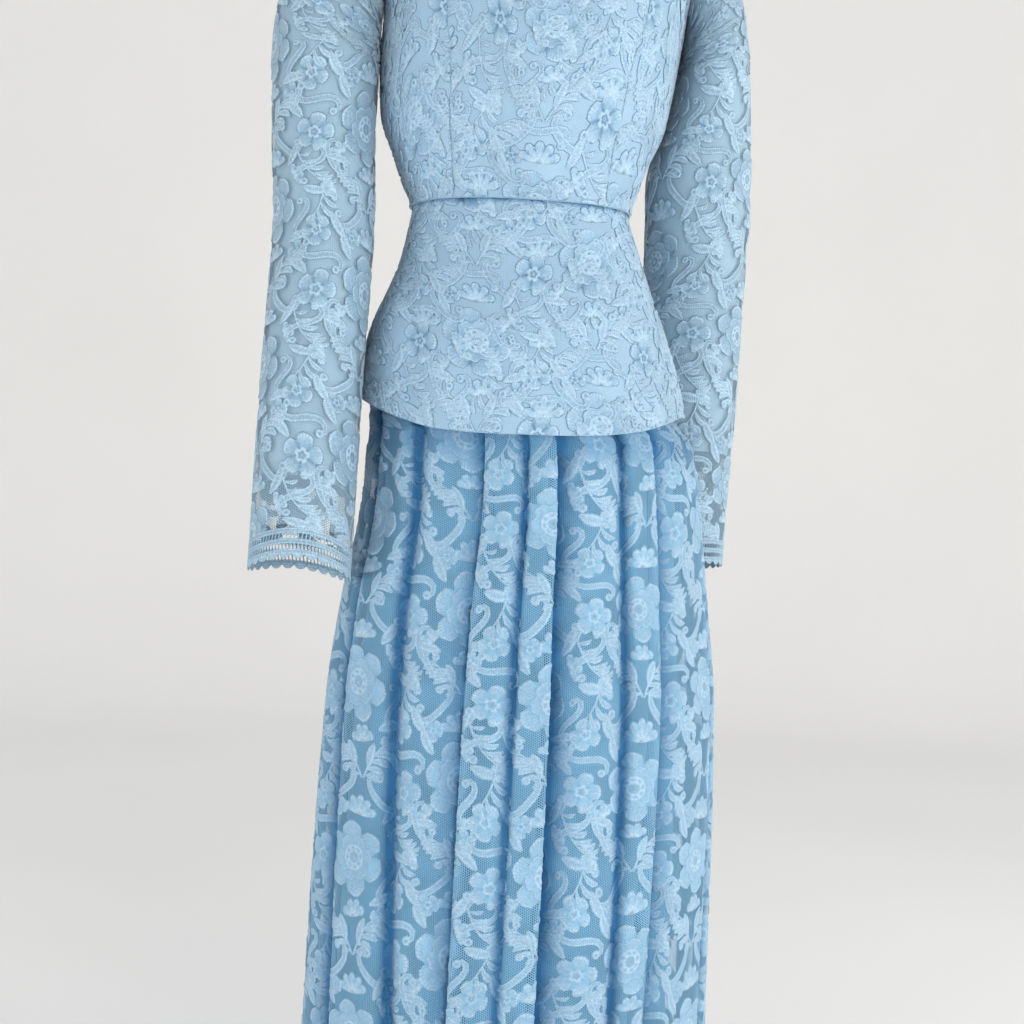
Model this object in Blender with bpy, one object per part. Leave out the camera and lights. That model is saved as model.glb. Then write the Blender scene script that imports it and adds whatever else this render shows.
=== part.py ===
"""A lace top with a peplum and a gathered lace skirt, worn shape, hollow.

Metres, +Z up. The wearer faces -Y and the wearer's left is +X. The origin is midway between
the two high points of the shoulders, where the neck begins. Every piece of cloth is a closed
wall: an outer grid of points, and the same grid moved inwards by the cloth's thickness.
"""

import math
from collections import namedtuple

import bpy
import numpy as np

# Heights
WAIST_Z = -0.400
UNDERARM_Z = -0.205
FRONT_HEM_Z = -0.6275
SIDE_HEM_LEFT_Z = -0.600
SIDE_HEM_RIGHT_Z = -0.589
BACK_HEM_Z = -0.602
# The front hem is lowest a little to the wearer's right of the centre
HEM_LOW_DEGREES = -5.0
# How squarely the hem turns up to the sides, and how late the flutes grow towards it
HEM_CURVE = 3.2
FLUTE_GROWTH = 1.6
SKIRT_HEM_Z = -1.370

# Neck and shoulders
NECK_HALF_WIDTH = 0.075
FRONT_NECK_DROP = 0.080
BACK_NECK_DROP = 0.022
SHOULDER_HALF_WIDTH = 0.185
SHOULDER_SLOPE = 0.32
SHOULDER_ROUNDING = 0.090
TIP_Z = -SHOULDER_SLOPE * (SHOULDER_HALF_WIDTH - NECK_HALF_WIDTH)

# Cloth
BODICE_WALL = 0.0018
PEPLUM_WALL = 0.0016
LACE_WALL = 0.0010
LINING_WALL = 0.0010
WAISTBAND_WALL = 0.0020
SEAM_GAP = 0.0003
LAYER_GAP = 0.0005
# Edges sharper than this are shaded as corners
CORNER_DEGREES = 50

# Where the top is cut across: the share of the quarter turn from centre to side seam
NECK_POINT = 0.30
SHOULDER_TIP = 0.60

# Up to this share of its height the bodice's places lie evenly round the body
EVEN_UP_TO = 0.25

# Waist seam and the bands under it
WAIST_DIP = 0.003
PEPLUM_TUCK = 0.006
WAISTBAND_TOP_Z = -0.388
WAISTBAND_BOTTOM_Z = -0.414

LACE_BLUE = (0.42, 0.60, 0.76, 1.0)
SATIN_BLUE = (0.24, 0.44, 0.63, 1.0)
SLEEVE_LINING_BLUE = (0.38, 0.55, 0.70, 1.0)

BodySection = namedtuple("BodySection", "z half_width front_depth back_depth centre_x")
BODICE_SECTIONS = [
    BodySection(-0.404, 0.1115, 0.0905, 0.0875, -0.0085),
    BodySection(-0.396, 0.1100, 0.0890, 0.0860, -0.0085),
    BodySection(-0.378, 0.1165, 0.0930, 0.0870, -0.0095),
    BodySection(-0.350, 0.1265, 0.1000, 0.0890, -0.0100),
    BodySection(-0.312, 0.1410, 0.1120, 0.0930, -0.0085),
    BodySection(-0.247, 0.1480, 0.1210, 0.0990, -0.0040),
    BodySection(-0.205, 0.1500, 0.1190, 0.1010, 0.0),
    BodySection(-0.180, 0.1560, 0.1140, 0.1020, 0.0),
    BodySection(-0.150, 0.1665, 0.1060, 0.1010, 0.0),
    BodySection(-0.120, 0.1780, 0.0960, 0.0980, 0.0),
    BodySection(-0.080, 0.1920, 0.0800, 0.0900, 0.0),
    BodySection(-0.035, 0.2000, 0.0640, 0.0780, 0.0),
    BodySection(0.000, 0.2040, 0.0560, 0.0700, 0.0),
]
CHEST_WIDTH = 0.150

PEPLUM_SECTIONS = [
    BodySection(-0.390, 0.1068, 0.0858, 0.0828, -0.0086),
    BodySection(-0.402, 0.1072, 0.0862, 0.0832, -0.0086),
    BodySection(-0.427, 0.1130, 0.0910, 0.0890, -0.0070),
    BodySection(-0.457, 0.1215, 0.0980, 0.0970, -0.0055),
    BodySection(-0.487, 0.1325, 0.1050, 0.1060, -0.0060),
    BodySection(-0.517, 0.1445, 0.1120, 0.1160, -0.0070),
    BodySection(-0.550, 0.1535, 0.1180, 0.1250, -0.0055),
    BodySection(-0.590, 0.1600, 0.1235, 0.1320, -0.0030),
    BodySection(-0.630, 0.1640, 0.1270, 0.1360, -0.0030),
]

SkirtSection = namedtuple(
    "SkirtSection", "z half_width front_depth back_depth centre_x lining_inset"
)
SKIRT_SECTIONS = [
    SkirtSection(-0.4143, 0.1044, 0.0839, 0.0809, -0.0086, 0.0014),
    SkirtSection(-0.427, 0.1060, 0.0850, 0.0830, -0.0075, 0.0020),
    SkirtSection(-0.457, 0.1145, 0.0910, 0.0905, -0.0055, 0.0050),
    SkirtSection(-0.487, 0.1245, 0.0970, 0.0985, -0.0055, 0.0080),
    SkirtSection(-0.517, 0.1355, 0.1035, 0.1080, -0.0060, 0.0110),
    SkirtSection(-0.560, 0.1465, 0.1110, 0.1180, -0.0035, 0.0150),
    SkirtSection(-0.600, 0.1510, 0.1160, 0.1240, -0.0010, 0.0185),
    SkirtSection(-0.630, 0.1620, 0.1225, 0.1310, 0.0095, 0.0205),
    SkirtSection(-0.700, 0.1700, 0.1290, 0.1380, 0.0115, 0.0250),
    SkirtSection(-0.787, 0.1830, 0.1400, 0.1480, 0.0085, 0.0300),
    SkirtSection(-0.887, 0.1940, 0.1500, 0.1570, 0.0070, 0.0330),
    SkirtSection(-1.037, 0.1985, 0.1580, 0.1640, 0.0040, 0.0350),
    SkirtSection(-1.187, 0.2005, 0.1640, 0.1690, 0.0010, 0.0360),
    SkirtSection(-1.370, 0.2070, 0.1700, 0.1750, 0.0, 0.0380),
]
LINING_HEM_Z = -1.335
LINING_SHIFT_X = -0.002
LINING_WAVES = 7
LINING_WAVE_HEIGHT = 0.003
# The lining's shift and waves reach their full size this far below the waist
LINING_SETTLES = 0.8
# The grooves of the lace grow to full depth over this share of its length
GROOVE_GROWTH = 0.24

# Front princess seams: the share of the quarter turn at shares of the panel's height
SeamPoint = namedtuple("SeamPoint", "height across")
PRINCESS_SEAM = [
    SeamPoint(0.00, 0.475),
    SeamPoint(0.12, 0.425),
    SeamPoint(0.27, 0.395),
    SeamPoint(0.48, 0.440),
    SeamPoint(1.00, 0.460),
]

# Armhole: along it from shoulder tip to underarm, the half width in front view
ArmholePoint = namedtuple("ArmholePoint", "along half_width")
ARMHOLE = [
    ArmholePoint(0.00, SHOULDER_HALF_WIDTH),
    ArmholePoint(0.25, 0.1640),
    ArmholePoint(0.50, 0.1535),
    ArmholePoint(0.75, 0.1500),
    ArmholePoint(1.00, CHEST_WIDTH),
]

# Soft flutes of the peplum: degrees from centre front towards +X
Flute = namedtuple("Flute", "degrees half_width height")
PEPLUM_FLUTES = [
    Flute(-74, 17, 0.0025),
    Flute(-50, 14, -0.0035),
    Flute(-33, 12, 0.0020),
    Flute(38, 14, 0.0020),
    Flute(62, 16, -0.0015),
    Flute(84, 15, 0.0040),
    Flute(113, 16, -0.0030),
    Flute(140, 17, 0.0055),
    Flute(168, 15, -0.0045),
    Flute(-158, 15, 0.0050),
    Flute(-130, 16, -0.0050),
    Flute(-104, 14, 0.0035),
]

# Grooves between the gathered folds of the skirt: degrees from centre front at the top and how
# far they drift by the hem, depth at the peplum's hem and at the skirt's hem, half width, and
# how far the floor of the groove leans sideways for each metre of its depth
Groove = namedtuple("Groove", "degrees drift top_depth hem_depth half_width lean")
SKIRT_GROOVES = [
    Groove(-76, 10, 0.006, 0.013, 8.0, 0.35),
    Groove(-51, 15, 0.009, 0.014, 7.5, -0.30),
    Groove(-22, 0, 0.014, 0.022, 6.0, 0.55),
    Groove(-9, -1, 0.010, 0.006, 4.5, 0.20),
    Groove(7, -2, 0.016, 0.019, 7.0, -0.45),
    Groove(26, -4, 0.007, 0.010, 6.0, 0.20),
    Groove(47, -12, 0.013, 0.020, 7.5, -0.40),
    Groove(80, -16, 0.007, 0.013, 8.0, 0.30),
    Groove(101, -6, 0.010, 0.018, 7.0, 0.40),
    Groove(122, 2, 0.012, 0.017, 7.0, -0.40),
    Groove(144, -3, 0.010, 0.021, 6.5, 0.45),
    Groove(163, 3, 0.013, 0.018, 6.5, -0.30),
    Groove(181, 0, 0.012, 0.020, 6.0, 0.40),
    Groove(201, -4, 0.010, 0.017, 6.5, -0.45),
    Groove(222, 3, 0.012, 0.021, 7.0, 0.40),
    Groove(246, 0, 0.010, 0.018, 7.5, -0.40),
    Groove(265, 5, 0.008, 0.014, 7.0, 0.30),
]

# Sleeve rings below the cap, centre and half sizes; the x is outwards from the body's middle
ArmSection = namedtuple("ArmSection", "z x y half_width half_depth")
SLEEVE_RIGHT_SECTIONS = [
    ArmSection(-0.270, 0.2065, -0.0050, 0.0520, 0.0620),
    ArmSection(-0.340, 0.2060, -0.0080, 0.0495, 0.0590),
    ArmSection(-0.420, 0.2035, -0.0150, 0.0490, 0.0570),
    ArmSection(-0.500, 0.2060, -0.0310, 0.0480, 0.0560),
    ArmSection(-0.580, 0.2105, -0.0460, 0.0480, 0.0550),
    ArmSection(-0.660, 0.2130, -0.0560, 0.0480, 0.0540),
    ArmSection(-0.760, 0.2165, -0.0660, 0.0475, 0.0520),
]
SLEEVE_LEFT_SECTIONS = [
    ArmSection(-0.250, 0.1845, 0.0100, 0.0360, 0.0660),
    ArmSection(-0.300, 0.1830, 0.0200, 0.0435, 0.0640),
    ArmSection(-0.350, 0.1815, 0.0380, 0.0530, 0.0600),
    ArmSection(-0.390, 0.1860, 0.0530, 0.0540, 0.0580),
    ArmSection(-0.440, 0.1885, 0.0710, 0.0530, 0.0570),
    ArmSection(-0.500, 0.1910, 0.0910, 0.0535, 0.0560),
    ArmSection(-0.590, 0.1945, 0.1160, 0.0535, 0.0550),
    ArmSection(-0.690, 0.1955, 0.1410, 0.0530, 0.0540),
    ArmSection(-0.755, 0.1970, 0.1550, 0.0525, 0.0520),
]
# Height of the cuff's edge at four places round it
CuffHem = namedtuple("CuffHem", "outer front inner back")
# The cap leaves the armhole over cap_spread sideways and comes down on the arm with cap_fall
SleeveSide = namedtuple(
    "SleeveSide", "name side sections hem cap_spread cap_fall seam_offset lining_end_z"
)
SLEEVES = [
    SleeveSide(
        name="left",
        side=1.0,
        sections=SLEEVE_LEFT_SECTIONS,
        hem=CuffHem(-0.754, -0.749, -0.757, -0.760),
        cap_spread=0.032,
        cap_fall=0.80,
        seam_offset=0.0012,
        lining_end_z=-0.641,
    ),
    SleeveSide(
        name="right",
        side=-1.0,
        sections=SLEEVE_RIGHT_SECTIONS,
        hem=CuffHem(-0.762, -0.748, -0.771, -0.762),
        cap_spread=0.110,
        cap_fall=1.15,
        seam_offset=0.0007,
        lining_end_z=-0.690,
    ),
]
CAP_SHARE = 0.36
# How the cap's cloth sets off from the armhole: out under the arm, forwards, and down
CAP_UNDERARM_SPREAD = 0.010
CAP_FORWARD_SPREAD = 0.020
CAP_UNDERARM_DROP = 0.030
CAP_SHOULDER_DROP = 0.060
SLEEVE_COLUMNS = 24
SLEEVE_LINING_START = 0.022
SLEEVE_LINING_GAP_TOP = 0.0006
SLEEVE_LINING_GAP_END = 0.0035

# Step used to measure the bodice's slope
SLOPE_STEP = 0.000001


def smooth_curve(xs, ys):
    """A curve through the points with no overshoot between them."""
    xs = np.asarray(xs, float)
    ys = np.asarray(ys, float)
    order = np.argsort(xs)
    xs, ys = xs[order], ys[order]
    steps = np.diff(xs)
    slopes = np.diff(ys) / steps
    tangents = np.zeros(len(xs))
    tangents[0], tangents[-1] = slopes[0], slopes[-1]
    before, after = slopes[:-1], slopes[1:]
    same_way = before * after > 0
    total = np.where(same_way, before + after, 1.0)
    tangents[1:-1] = np.where(same_way, 2 * before * after / total, 0.0)

    def at(x):
        x = np.clip(x, xs[0], xs[-1])
        i = np.clip(np.searchsorted(xs, x, side="right") - 1, 0, len(steps) - 1)
        t = (x - xs[i]) / steps[i]
        return (
            ys[i] * (1 + 2 * t) * (1 - t) ** 2
            + ys[i + 1] * t * t * (3 - 2 * t)
            + steps[i] * (tangents[i] * t * (1 - t) ** 2 - tangents[i + 1] * t * t * (1 - t))
        )

    return at


def column(rows, name):
    """The named column of a table of sections, as a smooth curve over z."""
    return smooth_curve([row.z for row in rows], [getattr(row, name) for row in rows])


def ease(t):
    t = np.clip(t, 0.0, 1.0)
    return t * t * (3 - 2 * t)


def mix(low, high, t):
    return low + (high - low) * t


BODICE_WIDTH = column(BODICE_SECTIONS, "half_width")
BODICE_FRONT = column(BODICE_SECTIONS, "front_depth")
BODICE_BACK = column(BODICE_SECTIONS, "back_depth")
BODICE_CENTRE = column(BODICE_SECTIONS, "centre_x")
PEPLUM_WIDTH = column(PEPLUM_SECTIONS, "half_width")
PEPLUM_FRONT = column(PEPLUM_SECTIONS, "front_depth")
PEPLUM_BACK = column(PEPLUM_SECTIONS, "back_depth")
PEPLUM_CENTRE = column(PEPLUM_SECTIONS, "centre_x")
SKIRT_WIDTH = column(SKIRT_SECTIONS, "half_width")
SKIRT_FRONT = column(SKIRT_SECTIONS, "front_depth")
SKIRT_BACK = column(SKIRT_SECTIONS, "back_depth")
SKIRT_CENTRE = column(SKIRT_SECTIONS, "centre_x")
LINING_INSET = column(SKIRT_SECTIONS, "lining_inset")
ARMHOLE_WIDTH = smooth_curve([p.along for p in ARMHOLE], [p.half_width for p in ARMHOLE])
PRINCESS_ACROSS = smooth_curve([p.height for p in PRINCESS_SEAM], [p.across for p in PRINCESS_SEAM])
ARM_CURVES = {
    arm.name: {name: column(arm.sections, name) for name in ("x", "y", "half_width", "half_depth")}
    for arm in SLEEVES
}
GROOVE_DRIFT = smooth_curve(
    [g.degrees + turn for turn in (-360, 0, 360) for g in SKIRT_GROOVES],
    [g.drift for turn in (-360, 0, 360) for g in SKIRT_GROOVES],
)


def top_edge(across, neck_drop):
    """x and z of the bodice's upper edge: neckline, shoulder seam, then armhole."""
    around_neck = np.clip(across / NECK_POINT, 0, 1) * math.pi / 2
    on_shoulder = np.clip((across - NECK_POINT) / (SHOULDER_TIP - NECK_POINT), 0, 1)
    on_armhole = np.clip((across - SHOULDER_TIP) / (1 - SHOULDER_TIP), 0, 1)
    x = np.where(
        across <= NECK_POINT,
        NECK_HALF_WIDTH * np.sin(around_neck),
        np.where(
            across <= SHOULDER_TIP,
            mix(NECK_HALF_WIDTH, SHOULDER_HALF_WIDTH, on_shoulder),
            ARMHOLE_WIDTH(on_armhole),
        ),
    )
    z = np.where(
        across <= NECK_POINT,
        -neck_drop * np.cos(around_neck),
        np.where(
            across <= SHOULDER_TIP,
            TIP_Z * on_shoulder,
            mix(TIP_Z, UNDERARM_Z, np.sin(on_armhole * math.pi / 2)),
        ),
    )
    return x, z


def front_view_width(z):
    """Half the bodice's width in front view: to the side seam, and above it to the armhole."""
    above = np.clip((TIP_Z - z) / (TIP_Z - UNDERARM_Z), 0, 1)
    armhole = ARMHOLE_WIDTH(np.arcsin(above) / (math.pi / 2))
    return np.where(z < UNDERARM_Z, BODICE_WIDTH(z), armhole)


def bodice(across, height, front):
    """A point of the bodice: across from -1 to 1 between side seams, height from 0 to 1."""
    across = np.asarray(across, float)
    height = np.asarray(height, float)
    side = np.where(across < 0, -1.0, 1.0)
    a = np.abs(across)
    edge_x, edge_z = top_edge(a, FRONT_NECK_DROP if front else BACK_NECK_DROP)
    low_z = WAIST_Z - WAIST_DIP * np.cos(a * math.pi / 2) ** 2
    z = mix(low_z, edge_z, height)
    rise = np.clip((height - EVEN_UP_TO) / (1 - EVEN_UP_TO), 0, 1) ** 2
    share = mix(np.sin(a * math.pi / 2), edge_x / front_view_width(edge_z), rise)
    x = share * front_view_width(z)
    y = bodice_depth(x, z, front)
    return np.stack([x * side + BODICE_CENTRE(z), -y if front else y, z], axis=-1)


def bodice_depth(x, z, front):
    """How far the bodice stands before or behind the side seam's plane, at x and z."""
    share = np.clip(x / BODICE_WIDTH(z), 0, 1)
    depth = (BODICE_FRONT(z) if front else BODICE_BACK(z)) * np.sqrt(1 - share * share)
    below_seam = -SHOULDER_SLOPE * (x - NECK_HALF_WIDTH) - z
    q = np.clip(below_seam / SHOULDER_ROUNDING, 0, 1)
    return np.hypot(depth * np.sqrt(1 - (1 - q) ** 2), SEAM_GAP / 2)


def bodice_normal(points, front):
    """Unit normals of the bodice, from the slope of its depth."""
    z = points[..., 2]
    across = points[..., 0] - BODICE_CENTRE(z)
    x = np.abs(across)
    slope_x = (bodice_depth(x + SLOPE_STEP, z, front) - bodice_depth(x - SLOPE_STEP, z, front))
    slope_z = (bodice_depth(x, z + SLOPE_STEP, front) - bodice_depth(x, z - SLOPE_STEP, front))
    side = np.where(across < 0, -1.0, 1.0)
    facing = 2 * SLOPE_STEP * (-1.0 if front else 1.0)
    normal = np.stack([-slope_x * side, facing + 0 * x, -slope_z], axis=-1)
    return normal / np.linalg.norm(normal, axis=-1, keepdims=True)


def oval(degrees, width, front_depth, back_depth):
    """x and y on an oval ring, degrees counted from centre front towards +X."""
    turn = np.radians(degrees)
    depth = np.where(np.cos(turn) >= 0, front_depth, back_depth)
    return width * np.sin(turn), -depth * np.cos(turn)


def bump(offset):
    """1 at the middle, falling smoothly to 0 at offsets of -1 and 1."""
    offset = np.clip(offset, -1, 1)
    return (1 + np.cos(math.pi * offset)) / 2


def turned(degrees):
    """Degrees brought into -180 to 180."""
    return (degrees + 180.0) % 360.0 - 180.0


def peplum(degrees, height):
    """A point of the peplum: height from 0 at the hem to 1 at the tucked top edge."""
    degrees = np.asarray(degrees, float)
    height = np.asarray(height, float)
    turn = np.radians(degrees)
    centre_z = mix(BACK_HEM_Z, FRONT_HEM_Z, ease(0.5 + np.cos(turn)))
    side_z = np.where(np.sin(turn) > 0, SIDE_HEM_LEFT_Z, SIDE_HEM_RIGHT_Z)
    sideways = np.sin(turn - math.radians(HEM_LOW_DEGREES))
    hem_z = mix(centre_z, side_z, np.abs(sideways) ** HEM_CURVE)
    top_z = WAIST_Z + PEPLUM_TUCK - WAIST_DIP * np.clip(np.cos(turn), 0, 1) ** 2
    z = mix(hem_z, top_z, height)
    x, y = oval(degrees, PEPLUM_WIDTH(z), PEPLUM_FRONT(z), PEPLUM_BACK(z))
    grow = np.clip(1 - height, 0, 1) ** FLUTE_GROWTH
    wave = sum(f.height * bump(turned(degrees - f.degrees) / f.half_width) for f in PEPLUM_FLUTES)
    out = np.hypot(x, y)
    reach = 1 + wave * grow / out
    return np.stack([x * reach + PEPLUM_CENTRE(z), y * reach, z], axis=-1)


def skirt_lace(degrees, z):
    """A point of the gathered lace, with its grooves leaning sideways."""
    degrees = np.asarray(degrees, float)
    z = np.asarray(z, float)
    top_z = SKIRT_SECTIONS[0].z
    down = (top_z - z) / (top_z - SKIRT_HEM_Z)
    below_peplum = (SIDE_HEM_RIGHT_Z - z) / (SIDE_HEM_RIGHT_Z - SKIRT_HEM_Z)
    shift = GROOVE_DRIFT(degrees) * down
    depth = 0.0
    lean = 0.0
    for g in SKIRT_GROOVES:
        here = bump(turned(degrees - g.degrees) / g.half_width)
        deep = mix(g.top_depth, g.hem_depth, np.clip(below_peplum, 0, 1))
        deep = deep * ease(down / GROOVE_GROWTH)
        depth = depth + deep * here
        lean = lean + deep * g.lean * here
    turn = np.radians(degrees + shift)
    width, front, back = SKIRT_WIDTH(z), SKIRT_FRONT(z), SKIRT_BACK(z)
    x, y = oval(degrees + shift, width, front, back)
    radius = np.hypot(x, y)
    inwards = 1 - depth / radius
    x, y = x * inwards, y * inwards
    centre = SKIRT_CENTRE(z)
    return np.stack([x + lean * np.cos(turn) + centre, y + lean * np.sin(turn), z], axis=-1)


def skirt_lining(degrees, z):
    """A point of the satin lining, narrower than the lace and with a few shallow waves."""
    degrees = np.asarray(degrees, float)
    z = np.asarray(z, float)
    inset = LINING_INSET(z)
    down = np.clip((SKIRT_SECTIONS[0].z - z) / LINING_SETTLES, 0, 1)
    wave = LINING_WAVE_HEIGHT * down * np.sin(np.radians(degrees) * LINING_WAVES + 0.6)
    x, y = oval(
        degrees,
        SKIRT_WIDTH(z) - inset + wave,
        SKIRT_FRONT(z) - inset + wave,
        SKIRT_BACK(z) - inset + wave,
    )
    return np.stack([x + SKIRT_CENTRE(z) + LINING_SHIFT_X * down, y, z], axis=-1)


def waistband(degrees, z):
    z = np.asarray(z, float)
    gap = PEPLUM_WALL + LAYER_GAP
    top = PEPLUM_SECTIONS[0]
    degrees = np.asarray(degrees, float)
    x, y = oval(degrees, top.half_width - gap, top.front_depth - gap, top.back_depth - gap)
    return np.stack([x + top.centre_x + 0 * z, y + 0 * z, z], axis=-1)


def armhole_ring(around, side):
    """The bodice's armhole: around in degrees, 0 at the shoulder tip, 90 front, 180 underarm."""
    around = np.asarray(around, float)
    in_front = around <= 180
    along = np.where(in_front, around, 360 - around) / 180
    across = side * mix(SHOULDER_TIP, 1.0, along)
    front = bodice(across, np.ones_like(along), True)
    back = bodice(across, np.ones_like(along), False)
    return np.where(in_front[..., None], front, back)


def cuff_z(around, hem):
    """Height of the cuff's edge, through its four stated places."""
    turn = np.radians(around)
    level = (hem.outer + hem.front + hem.inner + hem.back) / 4
    return (
        level
        + (hem.outer - hem.inner) / 2 * np.cos(turn)
        + (hem.front - hem.back) / 2 * np.sin(turn)
        + (hem.outer + hem.inner - hem.front - hem.back) / 4 * np.cos(2 * turn)
    )


def arm_ring(around, z, arm):
    """The sleeve's oval ring at height z."""
    turn = np.radians(around)
    x = ARM_CURVES[arm.name]["x"](z) + ARM_CURVES[arm.name]["half_width"](z) * np.cos(turn)
    y = ARM_CURVES[arm.name]["y"](z) - ARM_CURVES[arm.name]["half_depth"](z) * np.sin(turn)
    return np.stack([arm.side * x, y, z + 0 * x], axis=-1)


def sleeve(around, along, arm):
    """A point of the sleeve: along is 0 at the armhole and 1 at the wrist."""
    around = np.asarray(around, float)
    along = np.asarray(along, float)
    first_z = arm.sections[0].z
    start = armhole_ring(around, arm.side)
    start = start + np.array([arm.side * arm.seam_offset, 0.0, 0.0])
    joined = arm_ring(around, first_z + 0 * around, arm)
    turn = np.radians(around)
    outer = (1 + np.cos(turn)) / 2
    leave_x = mix(CAP_UNDERARM_SPREAD, arm.cap_spread, outer)
    leave_y = -CAP_FORWARD_SPREAD * np.sin(turn)
    leave_z = -mix(CAP_UNDERARM_DROP, CAP_SHOULDER_DROP, outer)
    leave = np.stack([arm.side * leave_x, leave_y, leave_z], axis=-1)
    height = (start[..., 2] - joined[..., 2])[..., None]
    arrive = np.concatenate([0 * height, 0 * height, -arm.cap_fall * height], axis=-1)
    t = np.clip(along / CAP_SHARE, 0, 1)[..., None]
    cap = (
        start * (1 + 2 * t) * (1 - t) ** 2
        + joined * t * t * (3 - 2 * t)
        + leave * t * (1 - t) ** 2
        - arrive * t * t * (1 - t)
    )
    low = np.clip((along - CAP_SHARE) / (1 - CAP_SHARE), 0, 1)
    tube = arm_ring(around, mix(first_z, cuff_z(around, arm.hem), low), arm)
    return np.where(along[..., None] <= CAP_SHARE, cap, tube)


def outward(surface, u, v, steps):
    """Unit normals of a surface, by small steps along u and v inside the range of v."""
    du, dv = steps
    across = surface(u + du, v) - surface(u - du, v)
    above = np.minimum(v + dv, v.max())
    below = np.maximum(v - dv, v.min())
    up = surface(u, above) - surface(u, below)
    normal = np.cross(across, up)
    return normal / np.linalg.norm(normal, axis=-1, keepdims=True)


def material(name, colour, roughness):
    made = bpy.data.materials.new(name)
    made.use_nodes = True
    shader = made.node_tree.nodes["Principled BSDF"]
    shader.inputs["Base Color"].default_value = colour
    shader.inputs["Roughness"].default_value = roughness
    shader.inputs["Metallic"].default_value = 0.0
    return made


def halves(quad, points):
    """Two triangles of a quad, split along its shorter diagonal."""
    a, b, c, d = quad
    if np.linalg.norm(points[a] - points[c]) <= np.linalg.norm(points[b] - points[d]):
        return (a, b, c), (a, c, d)
    return (a, b, d), (b, c, d)


def wall(name, outer, inner, closed, cloth):
    """A closed wall between two grids of points, rows by columns, the outer one facing out."""
    rows, columns = outer.shape[:2]
    count = rows * columns
    points = np.concatenate([outer.reshape(-1, 3), inner.reshape(-1, 3)])
    faces = []
    spans = columns if closed else columns - 1
    for r in range(rows - 1):
        for c in range(spans):
            n = (c + 1) % columns
            quad = (r * columns + c, r * columns + n, (r + 1) * columns + n, (r + 1) * columns + c)
            for face in halves(quad, points):
                faces.append(face)
                faces.append(tuple(count + i for i in reversed(face)))
    for r, upper in ((0, False), (rows - 1, True)):
        for c in range(spans):
            n = (c + 1) % columns
            edge = (r * columns + c, r * columns + n)
            rim = (edge[1], edge[0], count + edge[0], count + edge[1])
            faces.append(tuple(reversed(rim)) if upper else rim)
    if not closed:
        for c, last in ((0, False), (columns - 1, True)):
            for r in range(rows - 1):
                edge = (r * columns + c, (r + 1) * columns + c)
                rim = (edge[0], edge[1], count + edge[1], count + edge[0])
                faces.append(tuple(reversed(rim)) if last else rim)
    mesh = bpy.data.meshes.new(name)
    mesh.from_pydata([tuple(p) for p in points.tolist()], [], faces)
    mesh.validate()
    mesh.shade_smooth()
    mesh.set_sharp_from_angle(angle=math.radians(CORNER_DEGREES))
    made = bpy.data.objects.new(name, mesh)
    made.data.materials.append(cloth)
    bpy.context.collection.objects.link(made)
    return made


def pull_in(points, gap):
    """Moves the first and last columns of a grid inwards along its rows, by half a seam's gap."""
    points = points.copy()
    for edge, inner in ((0, 1), (-1, -2)):
        step = points[:, inner] - points[:, edge]
        length = np.linalg.norm(step, axis=-1, keepdims=True)
        points[:, edge] += step / length * gap / 2
    return points


def panel(name, surface, us, vs, thickness, cloth, steps, closed=False):
    """A wall of cloth over a surface, with us round it and vs up it."""
    v, u = np.meshgrid(np.asarray(vs, float), np.asarray(us, float), indexing="ij")
    outer = surface(u, v)
    normal = outward(surface, u, v, steps)
    if not closed:
        outer = pull_in(outer, SEAM_GAP)
    return wall(name, outer, outer - normal * thickness, closed, cloth)


def bodice_panel(name, across, heights, front, cloth):
    """A wall of cloth over the bodice, with a row of places across for each height."""
    across = np.asarray(across, float)
    v = np.repeat(np.asarray(heights, float)[:, None], across.shape[1], axis=1)
    outer = bodice(across, v, front)
    inner = outer - bodice_normal(outer, front) * BODICE_WALL
    for edge, inside in ((0, 1), (-1, -2)):
        if np.all(np.abs(across[:, edge]) < 1):
            step = outer[:, inside] - outer[:, edge]
            step *= SEAM_GAP / 2 / np.linalg.norm(step, axis=-1, keepdims=True)
            outer[:, edge] += step
            inner[:, edge] += step
    return wall(name, outer, inner, False, cloth)


def bodice_columns(low, high, stations, heights):
    """Places across a panel whose edges are curved seams, one row for each height."""
    rows = []
    for h in heights:
        left, right = low(h), high(h)
        top_left, top_right = low(1.0), high(1.0)
        shares = [(s - top_left) / (top_right - top_left) for s in stations]
        rows.append([mix(left, right, share) for share in shares])
    return np.array(rows)


def make_bodice(cloth):
    heights = [0, 0.045, 0.13, 0.25, 0.39, 0.54, 0.69, 0.82, 0.92, 1]
    centre = [0.08, 0.16, 0.24, 0.3, 0.38]
    side = [0.53, 0.6, 0.67, 0.75, 0.84, 0.93]
    top_seam = PRINCESS_SEAM[-1].across

    def seam(height):
        return float(PRINCESS_ACROSS(height))

    def side_seam(height):
        return 1.0

    stations = [-top_seam] + [-c for c in reversed(centre)] + [0.0] + centre + [top_seam]
    across = bodice_columns(lambda h: -seam(h), seam, stations, heights)
    bodice_panel("bodice_front_centre", across, heights, True, cloth)
    left_front = bodice_columns(seam, side_seam, [top_seam] + side + [1.0], heights)
    bodice_panel("bodice_front_side_left", left_front, heights, True, cloth)
    bodice_panel("bodice_front_side_right", -left_front[:, ::-1], heights, True, cloth)
    back = np.tile([0.0] + centre + [top_seam] + side + [1.0], (len(heights), 1))
    bodice_panel("bodice_back_left", back[:, ::-1], heights, False, cloth)
    bodice_panel("bodice_back_right", -back, heights, False, cloth)


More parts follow.
